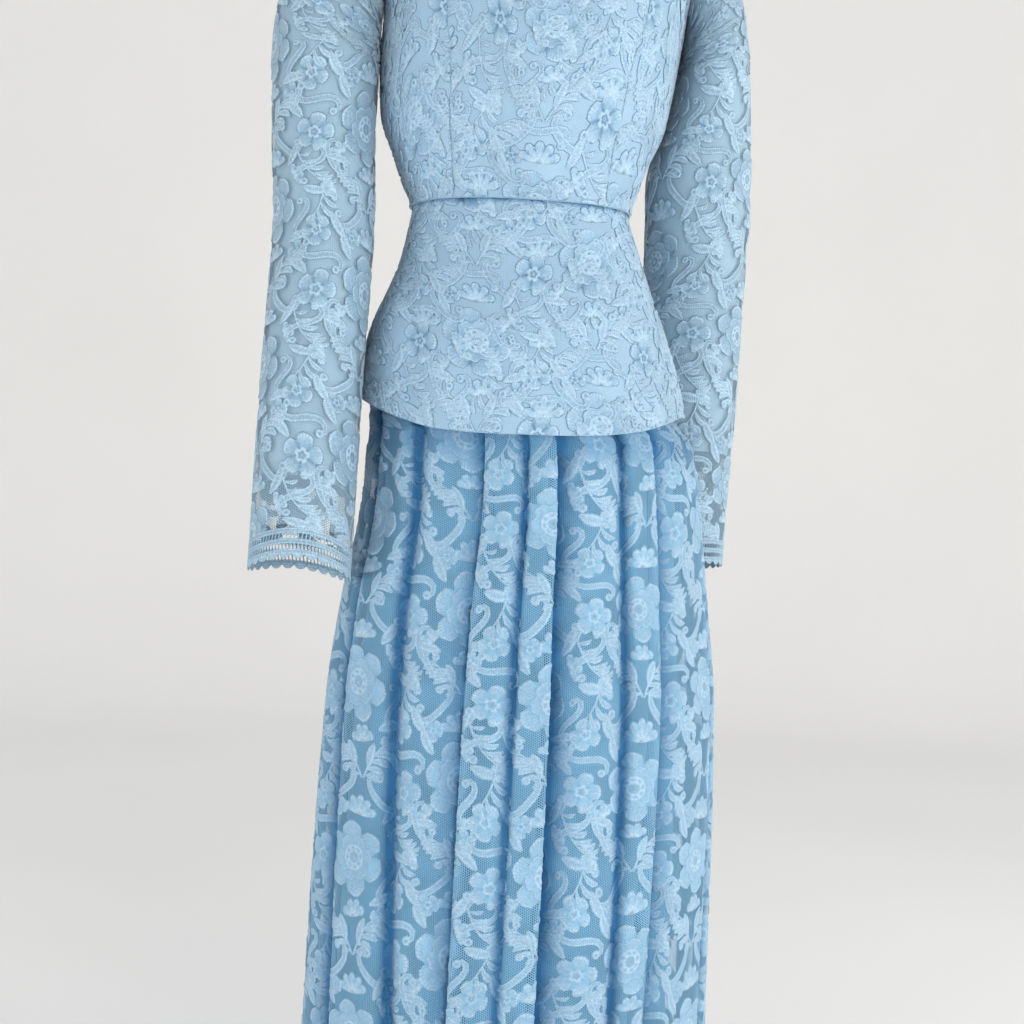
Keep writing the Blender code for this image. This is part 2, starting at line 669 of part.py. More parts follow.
def make_peplum(cloth):
    heights = [0, 0.14, 0.32, 0.52, 0.7, 0.87, 1]
    steps = (0.5, 0.003)
    front = np.linspace(-90, 90, 25)
    panel("peplum_front", peplum, front, heights, PEPLUM_WALL, cloth, steps)
    back = np.linspace(90, 270, 25)
    panel("peplum_back", peplum, back, heights, PEPLUM_WALL, cloth, steps)


def ring_places(count):
    return np.arange(count) * 360.0 / count


def make_sleeves(lace, lining):
    cap = [0, 0.1, 0.23, 0.4, 0.6, 0.8, 1]
    low = [0.16, 0.36, 0.57, 0.79, 1]
    along = [CAP_SHARE * t for t in cap] + [mix(CAP_SHARE, 1.0, t) for t in low]
    for arm in SLEEVES:
        def tube(around, t):
            return sleeve(around % 360.0, t, arm)

        sleeve_wall(f"sleeve_{arm.name}", tube, arm, along, (0.0, 0.0), LACE_WALL, lace)
        first_z, last_z = arm.sections[0].z, arm.sections[-1].z
        end = mix(CAP_SHARE, 1.0, (first_z - arm.lining_end_z) / (first_z - last_z))
        shorter = [SLEEVE_LINING_START] + [t for t in along[1:] if t < end - 0.02] + [end]
        insets = (LACE_WALL + SLEEVE_LINING_GAP_TOP, LACE_WALL + SLEEVE_LINING_GAP_END)
        sleeve_wall(f"sleeve_lining_{arm.name}", tube, arm, shorter, insets, LINING_WALL, lining)


def sleeve_wall(name, tube, arm, along, insets, thickness, cloth):
    """A closed tube of cloth on the sleeve's form, moved inwards by an inset that may grow."""
    facing = 1.0 if arm.side > 0 else -1.0
    around = ring_places(SLEEVE_COLUMNS)[:: int(facing)]
    v, u = np.meshgrid(np.asarray(along, float), around, indexing="ij")
    normal = outward(tube, u, v, (1.0, 0.004)) * facing
    share = ((v - v.min()) / (v.max() - v.min()))[..., None]
    outer = tube(u, v) - normal * mix(insets[0], insets[1], share)
    return wall(name, outer, outer - normal * thickness, True, cloth)


def groove_columns(start, end):
    """Places round the skirt: five on each groove and two on the flat between grooves."""
    places = [start, end]
    grooves = sorted(turned(g.degrees - start) % 360 + start for g in SKIRT_GROOVES)
    widths = {turned(g.degrees - start) % 360 + start: g.half_width for g in SKIRT_GROOVES}
    for i, centre in enumerate(grooves):
        half = widths[centre]
        places += [centre + share * half for share in (-1, -0.5, 0, 0.5, 1)]
        following = grooves[(i + 1) % len(grooves)]
        following += 360 if i + 1 == len(grooves) else 0
        gap_start, gap_end = centre + half, following - widths[grooves[(i + 1) % len(grooves)]]
        if gap_end - gap_start > 3:
            places.append(mix(gap_start, gap_end, 0.5))
    places = sorted(p for p in places if start <= p <= end)
    kept = [places[0]]
    for place in places[1:]:
        if place - kept[-1] > 1.2:
            kept.append(place)
    kept[-1] = end
    return kept


def make_skirt(lace, lining):
    top_z = SKIRT_SECTIONS[0].z
    levels = [SKIRT_HEM_Z, -1.187, -1.037, -0.887, -0.787, -0.700, -0.630, -0.598, -0.517, -0.457, top_z]
    lining_levels = [LINING_HEM_Z, -1.037, -0.787, -0.630, -0.598, -0.517, -0.457, top_z]
    steps = (0.3, 0.002)
    for name, start in (("front", -90), ("back", 90)):
        columns = groove_columns(start, start + 180)
        panel(f"skirt_lace_{name}", skirt_lace, columns, levels, LACE_WALL, lace, steps)
        columns = np.linspace(start, start + 180, 17)
        panel(f"skirt_lining_{name}", skirt_lining, columns, lining_levels, LINING_WALL, lining, steps)


def make_waistband(cloth):
    around = ring_places(40)
    levels = [WAISTBAND_BOTTOM_Z, WAISTBAND_TOP_Z]
    steps = (0.5, 0.002)
    panel("skirt_waistband", waistband, around, levels, WAISTBAND_WALL, cloth, steps, closed=True)


def main():
    for old in list(bpy.data.objects):
        bpy.data.objects.remove(old)
    bodice_cloth = material("lace_on_satin", LACE_BLUE, 0.55)
    lace = material("lace", LACE_BLUE, 0.75)
    satin = material("satin_lining", SATIN_BLUE, 0.40)
    sleeve_lining = material("sleeve_lining", SLEEVE_LINING_BLUE, 0.60)
    make_bodice(bodice_cloth)
    make_peplum(bodice_cloth)
    make_sleeves(lace, sleeve_lining)
    make_skirt(lace, satin)
    make_waistband(satin)


main()
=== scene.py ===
"""Looks of the lace top and skirt set: fine cloth on the solids' forms, raised lace, net and satin.

Metres, +Z up, the wearer faces -Y. Each solid is replaced by a thin sheet of cloth on the same
form. The lace's flowers, leaves and scrolls are raised bands made flat, in millimetres, and laid
on the cloth along its own width and length.
"""

import math
from collections import namedtuple
from types import SimpleNamespace

import bpy
import numpy as np
from mathutils import Matrix, Vector


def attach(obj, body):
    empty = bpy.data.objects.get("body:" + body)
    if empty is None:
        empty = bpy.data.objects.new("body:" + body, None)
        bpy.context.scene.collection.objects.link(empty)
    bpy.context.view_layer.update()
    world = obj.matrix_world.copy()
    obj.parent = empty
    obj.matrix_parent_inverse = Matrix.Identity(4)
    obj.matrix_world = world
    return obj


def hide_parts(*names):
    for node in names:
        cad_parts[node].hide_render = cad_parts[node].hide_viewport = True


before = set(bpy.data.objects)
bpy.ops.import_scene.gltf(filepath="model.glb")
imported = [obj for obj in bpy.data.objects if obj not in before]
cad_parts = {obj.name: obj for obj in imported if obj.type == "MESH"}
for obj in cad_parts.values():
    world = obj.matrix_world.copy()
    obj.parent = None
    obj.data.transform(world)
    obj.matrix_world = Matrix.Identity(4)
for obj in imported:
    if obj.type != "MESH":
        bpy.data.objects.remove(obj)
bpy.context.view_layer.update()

# Heights
WAIST_Z = -0.400
UNDERARM_Z = -0.205
FRONT_HEM_Z = -0.6275
SIDE_HEM_LEFT_Z = -0.600
SIDE_HEM_RIGHT_Z = -0.589
BACK_HEM_Z = -0.602
# The front hem is lowest a little to the wearer's right of the centre
HEM_LOW_DEGREES = -5.0
# How squarely the hem turns up to the sides, and how late the flutes grow towards it
HEM_CURVE = 3.2
FLUTE_GROWTH = 1.6
SKIRT_HEM_Z = -1.370

# Neck and shoulders
NECK_HALF_WIDTH = 0.075
FRONT_NECK_DROP = 0.080
BACK_NECK_DROP = 0.022
SHOULDER_HALF_WIDTH = 0.185
SHOULDER_SLOPE = 0.32
SHOULDER_ROUNDING = 0.090
TIP_Z = -SHOULDER_SLOPE * (SHOULDER_HALF_WIDTH - NECK_HALF_WIDTH)

# Cloth
BODICE_WALL = 0.0018
PEPLUM_WALL = 0.0016
LACE_WALL = 0.0010
LINING_WALL = 0.0010
WAISTBAND_WALL = 0.0020
SEAM_GAP = 0.0003
LAYER_GAP = 0.0005

# Where the top is cut across: the share of the quarter turn from centre to side seam
NECK_POINT = 0.30
SHOULDER_TIP = 0.60

# Up to this share of its height the bodice's places lie evenly round the body
EVEN_UP_TO = 0.25

# Waist seam and the bands under it
WAIST_DIP = 0.003
PEPLUM_TUCK = 0.006
# Shares of the peplum's height between which painted shade darkens it towards the bodice's edge
TUCK_SHADE_START = 0.950
TUCK_SHADE_FULL = 0.976
WAISTBAND_TOP_Z = -0.388
WAISTBAND_BOTTOM_Z = -0.414

BodySection = namedtuple("BodySection", "z half_width front_depth back_depth centre_x")
BODICE_SECTIONS = [
    BodySection(-0.404, 0.1115, 0.0905, 0.0875, -0.0085),
    BodySection(-0.396, 0.1100, 0.0890, 0.0860, -0.0085),
    BodySection(-0.378, 0.1165, 0.0930, 0.0870, -0.0095),
    BodySection(-0.350, 0.1265, 0.1000, 0.0890, -0.0100),
    BodySection(-0.312, 0.1410, 0.1120, 0.0930, -0.0085),
    BodySection(-0.247, 0.1480, 0.1210, 0.0990, -0.0040),
    BodySection(-0.205, 0.1500, 0.1190, 0.1010, 0.0),
    BodySection(-0.180, 0.1560, 0.1140, 0.1020, 0.0),
    BodySection(-0.150, 0.1665, 0.1060, 0.1010, 0.0),
    BodySection(-0.120, 0.1780, 0.0960, 0.0980, 0.0),
    BodySection(-0.080, 0.1920, 0.0800, 0.0900, 0.0),
    BodySection(-0.035, 0.2000, 0.0640, 0.0780, 0.0),
    BodySection(0.000, 0.2040, 0.0560, 0.0700, 0.0),
]
CHEST_WIDTH = 0.150

PEPLUM_SECTIONS = [
    BodySection(-0.390, 0.1068, 0.0858, 0.0828, -0.0086),
    BodySection(-0.402, 0.1072, 0.0862, 0.0832, -0.0086),
    BodySection(-0.427, 0.1130, 0.0910, 0.0890, -0.0070),
    BodySection(-0.457, 0.1215, 0.0980, 0.0970, -0.0055),
    BodySection(-0.487, 0.1325, 0.1050, 0.1060, -0.0060),
    BodySection(-0.517, 0.1445, 0.1120, 0.1160, -0.0070),
    BodySection(-0.550, 0.1535, 0.1180, 0.1250, -0.0055),
    BodySection(-0.590, 0.1600, 0.1235, 0.1320, -0.0030),
    BodySection(-0.630, 0.1640, 0.1270, 0.1360, -0.0030),
]

SkirtSection = namedtuple(
    "SkirtSection", "z half_width front_depth back_depth centre_x lining_inset"
)
SKIRT_SECTIONS = [
    SkirtSection(-0.4143, 0.1044, 0.0839, 0.0809, -0.0086, 0.0014),
    SkirtSection(-0.427, 0.1060, 0.0850, 0.0830, -0.0075, 0.0020),
    SkirtSection(-0.457, 0.1145, 0.0910, 0.0905, -0.0055, 0.0050),
    SkirtSection(-0.487, 0.1245, 0.0970, 0.0985, -0.0055, 0.0080),
    SkirtSection(-0.517, 0.1355, 0.1035, 0.1080, -0.0060, 0.0110),
    SkirtSection(-0.560, 0.1465, 0.1110, 0.1180, -0.0035, 0.0150),
    SkirtSection(-0.600, 0.1510, 0.1160, 0.1240, -0.0010, 0.0185),
    SkirtSection(-0.630, 0.1620, 0.1225, 0.1310, 0.0095, 0.0205),
    SkirtSection(-0.700, 0.1700, 0.1290, 0.1380, 0.0115, 0.0250),
    SkirtSection(-0.787, 0.1830, 0.1400, 0.1480, 0.0085, 0.0300),
    SkirtSection(-0.887, 0.1940, 0.1500, 0.1570, 0.0070, 0.0330),
    SkirtSection(-1.037, 0.1985, 0.1580, 0.1640, 0.0040, 0.0350),
    SkirtSection(-1.187, 0.2005, 0.1640, 0.1690, 0.0010, 0.0360),
    SkirtSection(-1.370, 0.2070, 0.1700, 0.1750, 0.0, 0.0380),
]
LINING_HEM_Z = -1.335
LINING_SHIFT_X = -0.002
LINING_WAVES = 7
LINING_WAVE_HEIGHT = 0.003
LINING_PHASE = 0.6
# The lining's shift and waves reach their full size this far below the waist
LINING_SETTLES = 0.8
# The grooves of the lace grow to full depth over this share of its length
GROOVE_GROWTH = 0.24

# Front princess seams: the share of the quarter turn at shares of the panel's height
SeamPoint = namedtuple("SeamPoint", "height across")
PRINCESS_SEAM = [
    SeamPoint(0.00, 0.475),
    SeamPoint(0.12, 0.425),
    SeamPoint(0.27, 0.395),
    SeamPoint(0.48, 0.440),
    SeamPoint(1.00, 0.460),
]

# Armhole: along it from shoulder tip to underarm, the half width in front view
ArmholePoint = namedtuple("ArmholePoint", "along half_width")
ARMHOLE = [
    ArmholePoint(0.00, SHOULDER_HALF_WIDTH),
    ArmholePoint(0.25, 0.1640),
    ArmholePoint(0.50, 0.1535),
    ArmholePoint(0.75, 0.1500),
    ArmholePoint(1.00, CHEST_WIDTH),
]

# Soft flutes of the peplum: degrees from centre front towards +X
Flute = namedtuple("Flute", "degrees half_width height")
PEPLUM_FLUTES = [
    Flute(-74, 17, 0.0025),
    Flute(-50, 14, -0.0035),
    Flute(-33, 12, 0.0020),
    Flute(38, 14, 0.0020),
    Flute(62, 16, -0.0015),
    Flute(84, 15, 0.0040),
    Flute(113, 16, -0.0030),
    Flute(140, 17, 0.0055),
    Flute(168, 15, -0.0045),
    Flute(-158, 15, 0.0050),
    Flute(-130, 16, -0.0050),
    Flute(-104, 14, 0.0035),
]

# Grooves between the gathered folds of the skirt: degrees from centre front at the top and how
# far they drift by the hem, depth at the peplum's hem and at the skirt's hem, half width, and
# how far the floor of the groove leans sideways for each metre of its depth
Groove = namedtuple("Groove", "degrees drift top_depth hem_depth half_width lean")
SKIRT_GROOVES = [
    Groove(-76, 10, 0.006, 0.013, 8.0, 0.35),
    Groove(-51, 15, 0.009, 0.014, 7.5, -0.30),
    Groove(-26, 0, 0.014, 0.022, 6.0, 0.55),
    Groove(-9, -1, 0.010, 0.006, 4.5, 0.20),
    Groove(7, -2, 0.016, 0.019, 7.0, -0.45),
    Groove(26, -4, 0.007, 0.010, 6.0, 0.20),
    Groove(47, -12, 0.013, 0.020, 7.5, -0.40),
    Groove(80, -16, 0.007, 0.013, 8.0, 0.30),
    Groove(101, -6, 0.010, 0.018, 7.0, 0.40),
    Groove(122, 2, 0.012, 0.017, 7.0, -0.40),
    Groove(144, -3, 0.010, 0.021, 6.5, 0.45),
    Groove(163, 3, 0.013, 0.018, 6.5, -0.30),
    Groove(181, 0, 0.012, 0.020, 6.0, 0.40),
    Groove(201, -4, 0.010, 0.017, 6.5, -0.45),
    Groove(222, 3, 0.012, 0.021, 7.0, 0.40),
    Groove(246, 0, 0.010, 0.018, 7.5, -0.40),
    Groove(265, 5, 0.008, 0.014, 7.0, 0.30),
]
# The folds as the cloth hangs: narrower than a plain wave, and lying over to one side
FOLD_SHARPNESS = 2.4
FOLD_LEAN = 2.2
# Depth at which a fold's soft painted shade reaches its full share
FOLD_DARK_DEPTH = 0.013
# Share of the full painted shade that is soft, and how narrow the painted dark line at a fold's
# floor is
FOLD_SOFT_SHADE = 0.55
FOLD_LINE_SHARPNESS = 5.0
# The peplum's soft shade on the skirt: where it ends, and its share of a deep fold's
UNDER_PEPLUM_Z = -0.665
UNDER_PEPLUM_SHADE = 0.45
# Small gathers between the folds: count round the body, phase, height, and where they die out
Gather = namedtuple("Gather", "count phase height end_z")
GATHERS = [
    Gather(43, 0.3, 0.0013, -0.95),
    Gather(67, 1.9, 0.0009, -0.78),
    Gather(25, 4.0, 0.0012, -1.60),
]
GATHERS_START = 0.12

# Sleeve rings below the cap, centre and half sizes; the x is outwards from the body's middle
ArmSection = namedtuple("ArmSection", "z x y half_width half_depth")
SLEEVE_RIGHT_SECTIONS = [
    ArmSection(-0.270, 0.2065, -0.0050, 0.0520, 0.0620),
    ArmSection(-0.340, 0.2060, -0.0080, 0.0495, 0.0590),
    ArmSection(-0.420, 0.2035, -0.0150, 0.0490, 0.0570),
    ArmSection(-0.500, 0.2060, -0.0310, 0.0480, 0.0560),
    ArmSection(-0.580, 0.2105, -0.0460, 0.0480, 0.0550),
    ArmSection(-0.660, 0.2130, -0.0560, 0.0480, 0.0540),
    ArmSection(-0.760, 0.2165, -0.0660, 0.0475, 0.0520),
]
SLEEVE_LEFT_SECTIONS = [
    ArmSection(-0.250, 0.1845, 0.0100, 0.0360, 0.0660),
    ArmSection(-0.300, 0.1830, 0.0200, 0.0435, 0.0640),
    ArmSection(-0.350, 0.1815, 0.0380, 0.0530, 0.0600),
    ArmSection(-0.390, 0.1860, 0.0530, 0.0540, 0.0580),
    ArmSection(-0.440, 0.1885, 0.0710, 0.0530, 0.0570),
    ArmSection(-0.500, 0.1910, 0.0910, 0.0535, 0.0560),
    ArmSection(-0.590, 0.1945, 0.1160, 0.0535, 0.0550),
    ArmSection(-0.690, 0.1955, 0.1410, 0.0530, 0.0540),
    ArmSection(-0.755, 0.1970, 0.1550, 0.0525, 0.0520),
]
# Height of the cuff's edge at four places round it
CuffHem = namedtuple("CuffHem", "outer front inner back")
# The cap leaves the armhole over cap_spread sideways and comes down on the arm with cap_fall
SleeveSide = namedtuple(
    "SleeveSide", "name side sections hem cap_spread cap_fall seam_offset lining_end_z"
)
SLEEVES = [
    SleeveSide(
        name="left",
        side=1.0,
        sections=SLEEVE_LEFT_SECTIONS,
        hem=CuffHem(-0.754, -0.749, -0.757, -0.760),
        cap_spread=0.032,
        cap_fall=0.80,
        seam_offset=0.0012,
        lining_end_z=-0.641,
    ),
    SleeveSide(
        name="right",
        side=-1.0,
        sections=SLEEVE_RIGHT_SECTIONS,
        hem=CuffHem(-0.762, -0.748, -0.771, -0.762),
        cap_spread=0.110,
        cap_fall=1.15,
        seam_offset=0.0007,
        lining_end_z=-0.690,
    ),
]
CAP_SHARE = 0.36
# How the cap's cloth sets off from the armhole: out under the arm, forwards, and down
CAP_UNDERARM_SPREAD = 0.010
CAP_FORWARD_SPREAD = 0.020
CAP_UNDERARM_DROP = 0.030
CAP_SHOULDER_DROP = 0.060
SLEEVE_LINING_START = 0.022
SLEEVE_LINING_GAP_TOP = 0.0006
SLEEVE_LINING_GAP_END = 0.0035


def hermite(start, end, leave, arrive, t):
    """From start to end at a share t, leaving and arriving with the given slopes."""
    return (
        start * (1 + 2 * t) * (1 - t) ** 2
        + end * t * t * (3 - 2 * t)
        + leave * t * (1 - t) ** 2
        - arrive * t * t * (1 - t)
    )


def smooth_curve(xs, ys):
    """A curve through the points with no overshoot between them."""
    xs = np.asarray(xs, float)
    ys = np.asarray(ys, float)
    order = np.argsort(xs)
    xs, ys = xs[order], ys[order]
    steps = np.diff(xs)
    slopes = np.diff(ys) / steps
    tangents = np.zeros(len(xs))
    tangents[0], tangents[-1] = slopes[0], slopes[-1]
    before, after = slopes[:-1], slopes[1:]
    same_way = before * after > 0
    total = np.where(same_way, before + after, 1.0)
    tangents[1:-1] = np.where(same_way, 2 * before * after / total, 0.0)

    def at(x):
        x = np.clip(x, xs[0], xs[-1])
        i = np.clip(np.searchsorted(xs, x, side="right") - 1, 0, len(steps) - 1)
        t = (x - xs[i]) / steps[i]
        return hermite(ys[i], ys[i + 1], steps[i] * tangents[i], steps[i] * tangents[i + 1], t)

    return at


def curves(rows):
    """The columns of a table of sections, each a smooth curve over z, by their names."""
    heights = [row.z for row in rows]
    names = rows[0]._fields[1:]
    columns = {name: smooth_curve(heights, [getattr(row, name) for row in rows]) for name in names}
    return SimpleNamespace(**columns)


def ease(t):
    t = np.clip(t, 0.0, 1.0)
    return t * t * (3 - 2 * t)


def mix(low, high, t):
    return low + (high - low) * t


BODICE = curves(BODICE_SECTIONS)
PEPLUM = curves(PEPLUM_SECTIONS)
SKIRT = curves(SKIRT_SECTIONS)
ARMS = {arm.name: curves(arm.sections) for arm in SLEEVES}
ARMHOLE_WIDTH = smooth_curve([p.along for p in ARMHOLE], [p.half_width for p in ARMHOLE])
PRINCESS_ACROSS = smooth_curve([p.height for p in PRINCESS_SEAM], [p.across for p in PRINCESS_SEAM])
GROOVE_DRIFT = smooth_curve(
    [g.degrees + turn for turn in (-360, 0, 360) for g in SKIRT_GROOVES],
    [g.drift for turn in (-360, 0, 360) for g in SKIRT_GROOVES],
)


def top_edge(across, neck_drop):
    """x and z of the bodice's upper edge: neckline, shoulder seam, then armhole."""
    around_neck = np.clip(across / NECK_POINT, 0, 1) * math.pi / 2
    on_shoulder = np.clip((across - NECK_POINT) / (SHOULDER_TIP - NECK_POINT), 0, 1)
    on_armhole = np.clip((across - SHOULDER_TIP) / (1 - SHOULDER_TIP), 0, 1)
    parts = [across <= NECK_POINT, across <= SHOULDER_TIP]
    neck_x = NECK_HALF_WIDTH * np.sin(around_neck)
    shoulder_x = mix(NECK_HALF_WIDTH, SHOULDER_HALF_WIDTH, on_shoulder)
    x = np.select(parts, [neck_x, shoulder_x], ARMHOLE_WIDTH(on_armhole))
    armhole_z = mix(TIP_Z, UNDERARM_Z, np.sin(on_armhole * math.pi / 2))
    z = np.select(parts, [-neck_drop * np.cos(around_neck), TIP_Z * on_shoulder], armhole_z)
    return x, z


def front_view_width(z):
    """Half the bodice's width in front view: to the side seam, and above it to the armhole."""
    above = np.clip((TIP_Z - z) / (TIP_Z - UNDERARM_Z), 0, 1)
    armhole = ARMHOLE_WIDTH(np.arcsin(above) / (math.pi / 2))
    return np.where(z < UNDERARM_Z, BODICE.half_width(z), armhole)


def bodice(across, height, front):
    """A point of the bodice: across from -1 to 1 between side seams, height from 0 to 1."""
    across = np.asarray(across, float)
    height = np.asarray(height, float)
    side = np.where(across < 0, -1.0, 1.0)
    a = np.abs(across)
    edge_x, edge_z = top_edge(a, FRONT_NECK_DROP if front else BACK_NECK_DROP)
    low_z = WAIST_Z - WAIST_DIP * np.cos(a * math.pi / 2) ** 2
    z = mix(low_z, edge_z, height)
    rise = np.clip((height - EVEN_UP_TO) / (1 - EVEN_UP_TO), 0, 1) ** 2
    share = mix(np.sin(a * math.pi / 2), edge_x / front_view_width(edge_z), rise)
    x = share * front_view_width(z)
    y = bodice_depth(x, z, front)
    return np.stack([x * side + BODICE.centre_x(z), -y if front else y, z], axis=-1)


def bodice_depth(x, z, front):
    """How far the bodice stands before or behind the side seam's plane, at x and z."""
    share = np.clip(x / BODICE.half_width(z), 0, 1)
    deepest = BODICE.front_depth(z) if front else BODICE.back_depth(z)
    depth = deepest * np.sqrt(1 - share * share)
    below_seam = -SHOULDER_SLOPE * (x - NECK_HALF_WIDTH) - z
    q = np.clip(below_seam / SHOULDER_ROUNDING, 0, 1)
    return np.hypot(depth * np.sqrt(1 - (1 - q) ** 2), SEAM_GAP / 2)


def oval(degrees, form, z, out=0.0):
    """x and y on a form's oval ring at z, degrees counted from centre front towards +X."""
    turn = np.radians(degrees)
    depth = np.where(np.cos(turn) >= 0, form.front_depth(z), form.back_depth(z)) + out
    return (form.half_width(z) + out) * np.sin(turn), -depth * np.cos(turn)


def bump(offset):
    """1 at the middle, falling smoothly to 0 at offsets of -1 and 1."""
    offset = np.clip(offset, -1, 1)
    return (1 + np.cos(math.pi * offset)) / 2


def turned(degrees):
    """Degrees brought into -180 to 180."""
    return (degrees + 180.0) % 360.0 - 180.0


def peplum(degrees, height):
    """A point of the peplum: height from 0 at the hem to 1 at the tucked top edge."""
    degrees = np.asarray(degrees, float)
    height = np.asarray(height, float)
    turn = np.radians(degrees)
    centre_z = mix(BACK_HEM_Z, FRONT_HEM_Z, ease(0.5 + np.cos(turn)))
    side_z = np.where(np.sin(turn) > 0, SIDE_HEM_LEFT_Z, SIDE_HEM_RIGHT_Z)
    sideways = np.sin(turn - math.radians(HEM_LOW_DEGREES))
    hem_z = mix(centre_z, side_z, np.abs(sideways) ** HEM_CURVE)
    top_z = WAIST_Z + PEPLUM_TUCK - WAIST_DIP * np.clip(np.cos(turn), 0, 1) ** 2
    z = mix(hem_z, top_z, height)
    x, y = oval(degrees, PEPLUM, z)
    grow = np.clip(1 - height, 0, 1) ** FLUTE_GROWTH
    wave = sum(f.height * bump(turned(degrees - f.degrees) / f.half_width) for f in PEPLUM_FLUTES)
    out = np.hypot(x, y)
    reach = 1 + wave * grow / out
    return np.stack([x * reach + PEPLUM.centre_x(z), y * reach, z], axis=-1)


def tuck_shade(degrees, height):
    """Painted shade: 1 where the peplum tucks behind the bodice's edge, falling to 0 just below it.
    """
    return ease((height - TUCK_SHADE_START) / (TUCK_SHADE_FULL - TUCK_SHADE_START)) + 0 * degrees


def skirt_folds(degrees, z):
    """How far the gathered lace sinks into its folds, and how far it moves sideways in them."""
    top_z = SKIRT_SECTIONS[0].z
    down = (top_z - z) / (top_z - SKIRT_HEM_Z)
    below_peplum = (SIDE_HEM_RIGHT_Z - z) / (SIDE_HEM_RIGHT_Z - SKIRT_HEM_Z)
    depth = 0.0
    lean = 0.0
    for g in SKIRT_GROOVES:
        here = bump(turned(degrees - g.degrees) / g.half_width) ** FOLD_SHARPNESS
        deep = mix(g.top_depth, g.hem_depth, np.clip(below_peplum, 0, 1))
        deep = deep * ease(down / GROOVE_GROWTH)
        depth = depth + deep * here
        lean = lean + deep * g.lean * FOLD_LEAN * here
    return depth, lean


def skirt_shade(degrees, z):
    """Painted shade: 1 deep in the skirt's folds and on a line down each, some under the peplum's
    hem, and 0 elsewhere.
    """
    depth, _ = skirt_folds(degrees, z)
    under_peplum = ease((z - UNDER_PEPLUM_Z) / (FRONT_HEM_Z - UNDER_PEPLUM_Z))
    offsets = [turned(degrees - g.degrees) / g.half_width for g in SKIRT_GROOVES]
    line = sum(bump(offset) ** FOLD_LINE_SHARPNESS for offset in offsets)
    soft = FOLD_SOFT_SHADE * depth / FOLD_DARK_DEPTH
    return np.clip(soft + line + UNDER_PEPLUM_SHADE * under_peplum, 0, 1)


def skirt_lace(degrees, z):
    """A point of the gathered lace, with its folds lying over sideways."""
    degrees = np.asarray(degrees, float)
    z = np.asarray(z, float)
    top_z = SKIRT_SECTIONS[0].z
    down = (top_z - z) / (top_z - SKIRT_HEM_Z)
    shift = GROOVE_DRIFT(degrees) * down
    depth, lean = skirt_folds(degrees, z)
    for g in GATHERS:
        left = np.clip((z - g.end_z) / (top_z - g.end_z), 0, 1) * ease(down / GATHERS_START)
        depth = depth + g.height * left * np.sin(np.radians(degrees) * g.count + g.phase)
    turn = np.radians(degrees + shift)
    x, y = oval(degrees + shift, SKIRT, z)
    inwards = 1 - depth / np.hypot(x, y)
    x = x * inwards + lean * np.cos(turn) + SKIRT.centre_x(z)
    return np.stack([x, y * inwards + lean * np.sin(turn), z], axis=-1)


def skirt_lining(degrees, z):
    """A point of the satin lining, narrower than the lace and with a few shallow waves."""
    degrees = np.asarray(degrees, float)
    z = np.asarray(z, float)
    down = np.clip((SKIRT_SECTIONS[0].z - z) / LINING_SETTLES, 0, 1)
    wave = LINING_WAVE_HEIGHT * down * np.sin(np.radians(degrees) * LINING_WAVES + LINING_PHASE)
    x, y = oval(degrees, SKIRT, z, wave - SKIRT.lining_inset(z))
    return np.stack([x + SKIRT.centre_x(z) + LINING_SHIFT_X * down, y, z], axis=-1)


def waistband(degrees, z):
    """A point of the waistband, which stands straight inside the peplum's top edge."""
    z = np.asarray(z, float)
    top_z = PEPLUM_SECTIONS[0].z
    x, y = oval(np.asarray(degrees, float), PEPLUM, top_z, -PEPLUM_WALL - LAYER_GAP)
    return np.stack([x + PEPLUM.centre_x(top_z) + 0 * z, y + 0 * z, z], axis=-1)


def armhole_ring(around, side):
    """The bodice's armhole: around in degrees, 0 at the shoulder tip, 90 front, 180 underarm."""
    around = np.asarray(around, float)
    in_front = around <= 180
    along = np.where(in_front, around, 360 - around) / 180
    across = side * mix(SHOULDER_TIP, 1.0, along)
    front = bodice(across, np.ones_like(along), True)
    back = bodice(across, np.ones_like(along), False)
    return np.where(in_front[..., None], front, back)


def cuff_z(around, hem):
    """Height of the cuff's edge, through its four stated places."""
    turn = np.radians(around)
    level = (hem.outer + hem.front + hem.inner + hem.back) / 4
    return (
        level
        + (hem.outer - hem.inner) / 2 * np.cos(turn)
        + (hem.front - hem.back) / 2 * np.sin(turn)
        + (hem.outer + hem.inner - hem.front - hem.back) / 4 * np.cos(2 * turn)
    )


def arm_ring(around, z, arm):
    """The sleeve's oval ring at height z."""
    turn = np.radians(around)
    form = ARMS[arm.name]
    x = form.x(z) + form.half_width(z) * np.cos(turn)
    y = form.y(z) - form.half_depth(z) * np.sin(turn)
    return np.stack([arm.side * x, y, z + 0 * x], axis=-1)


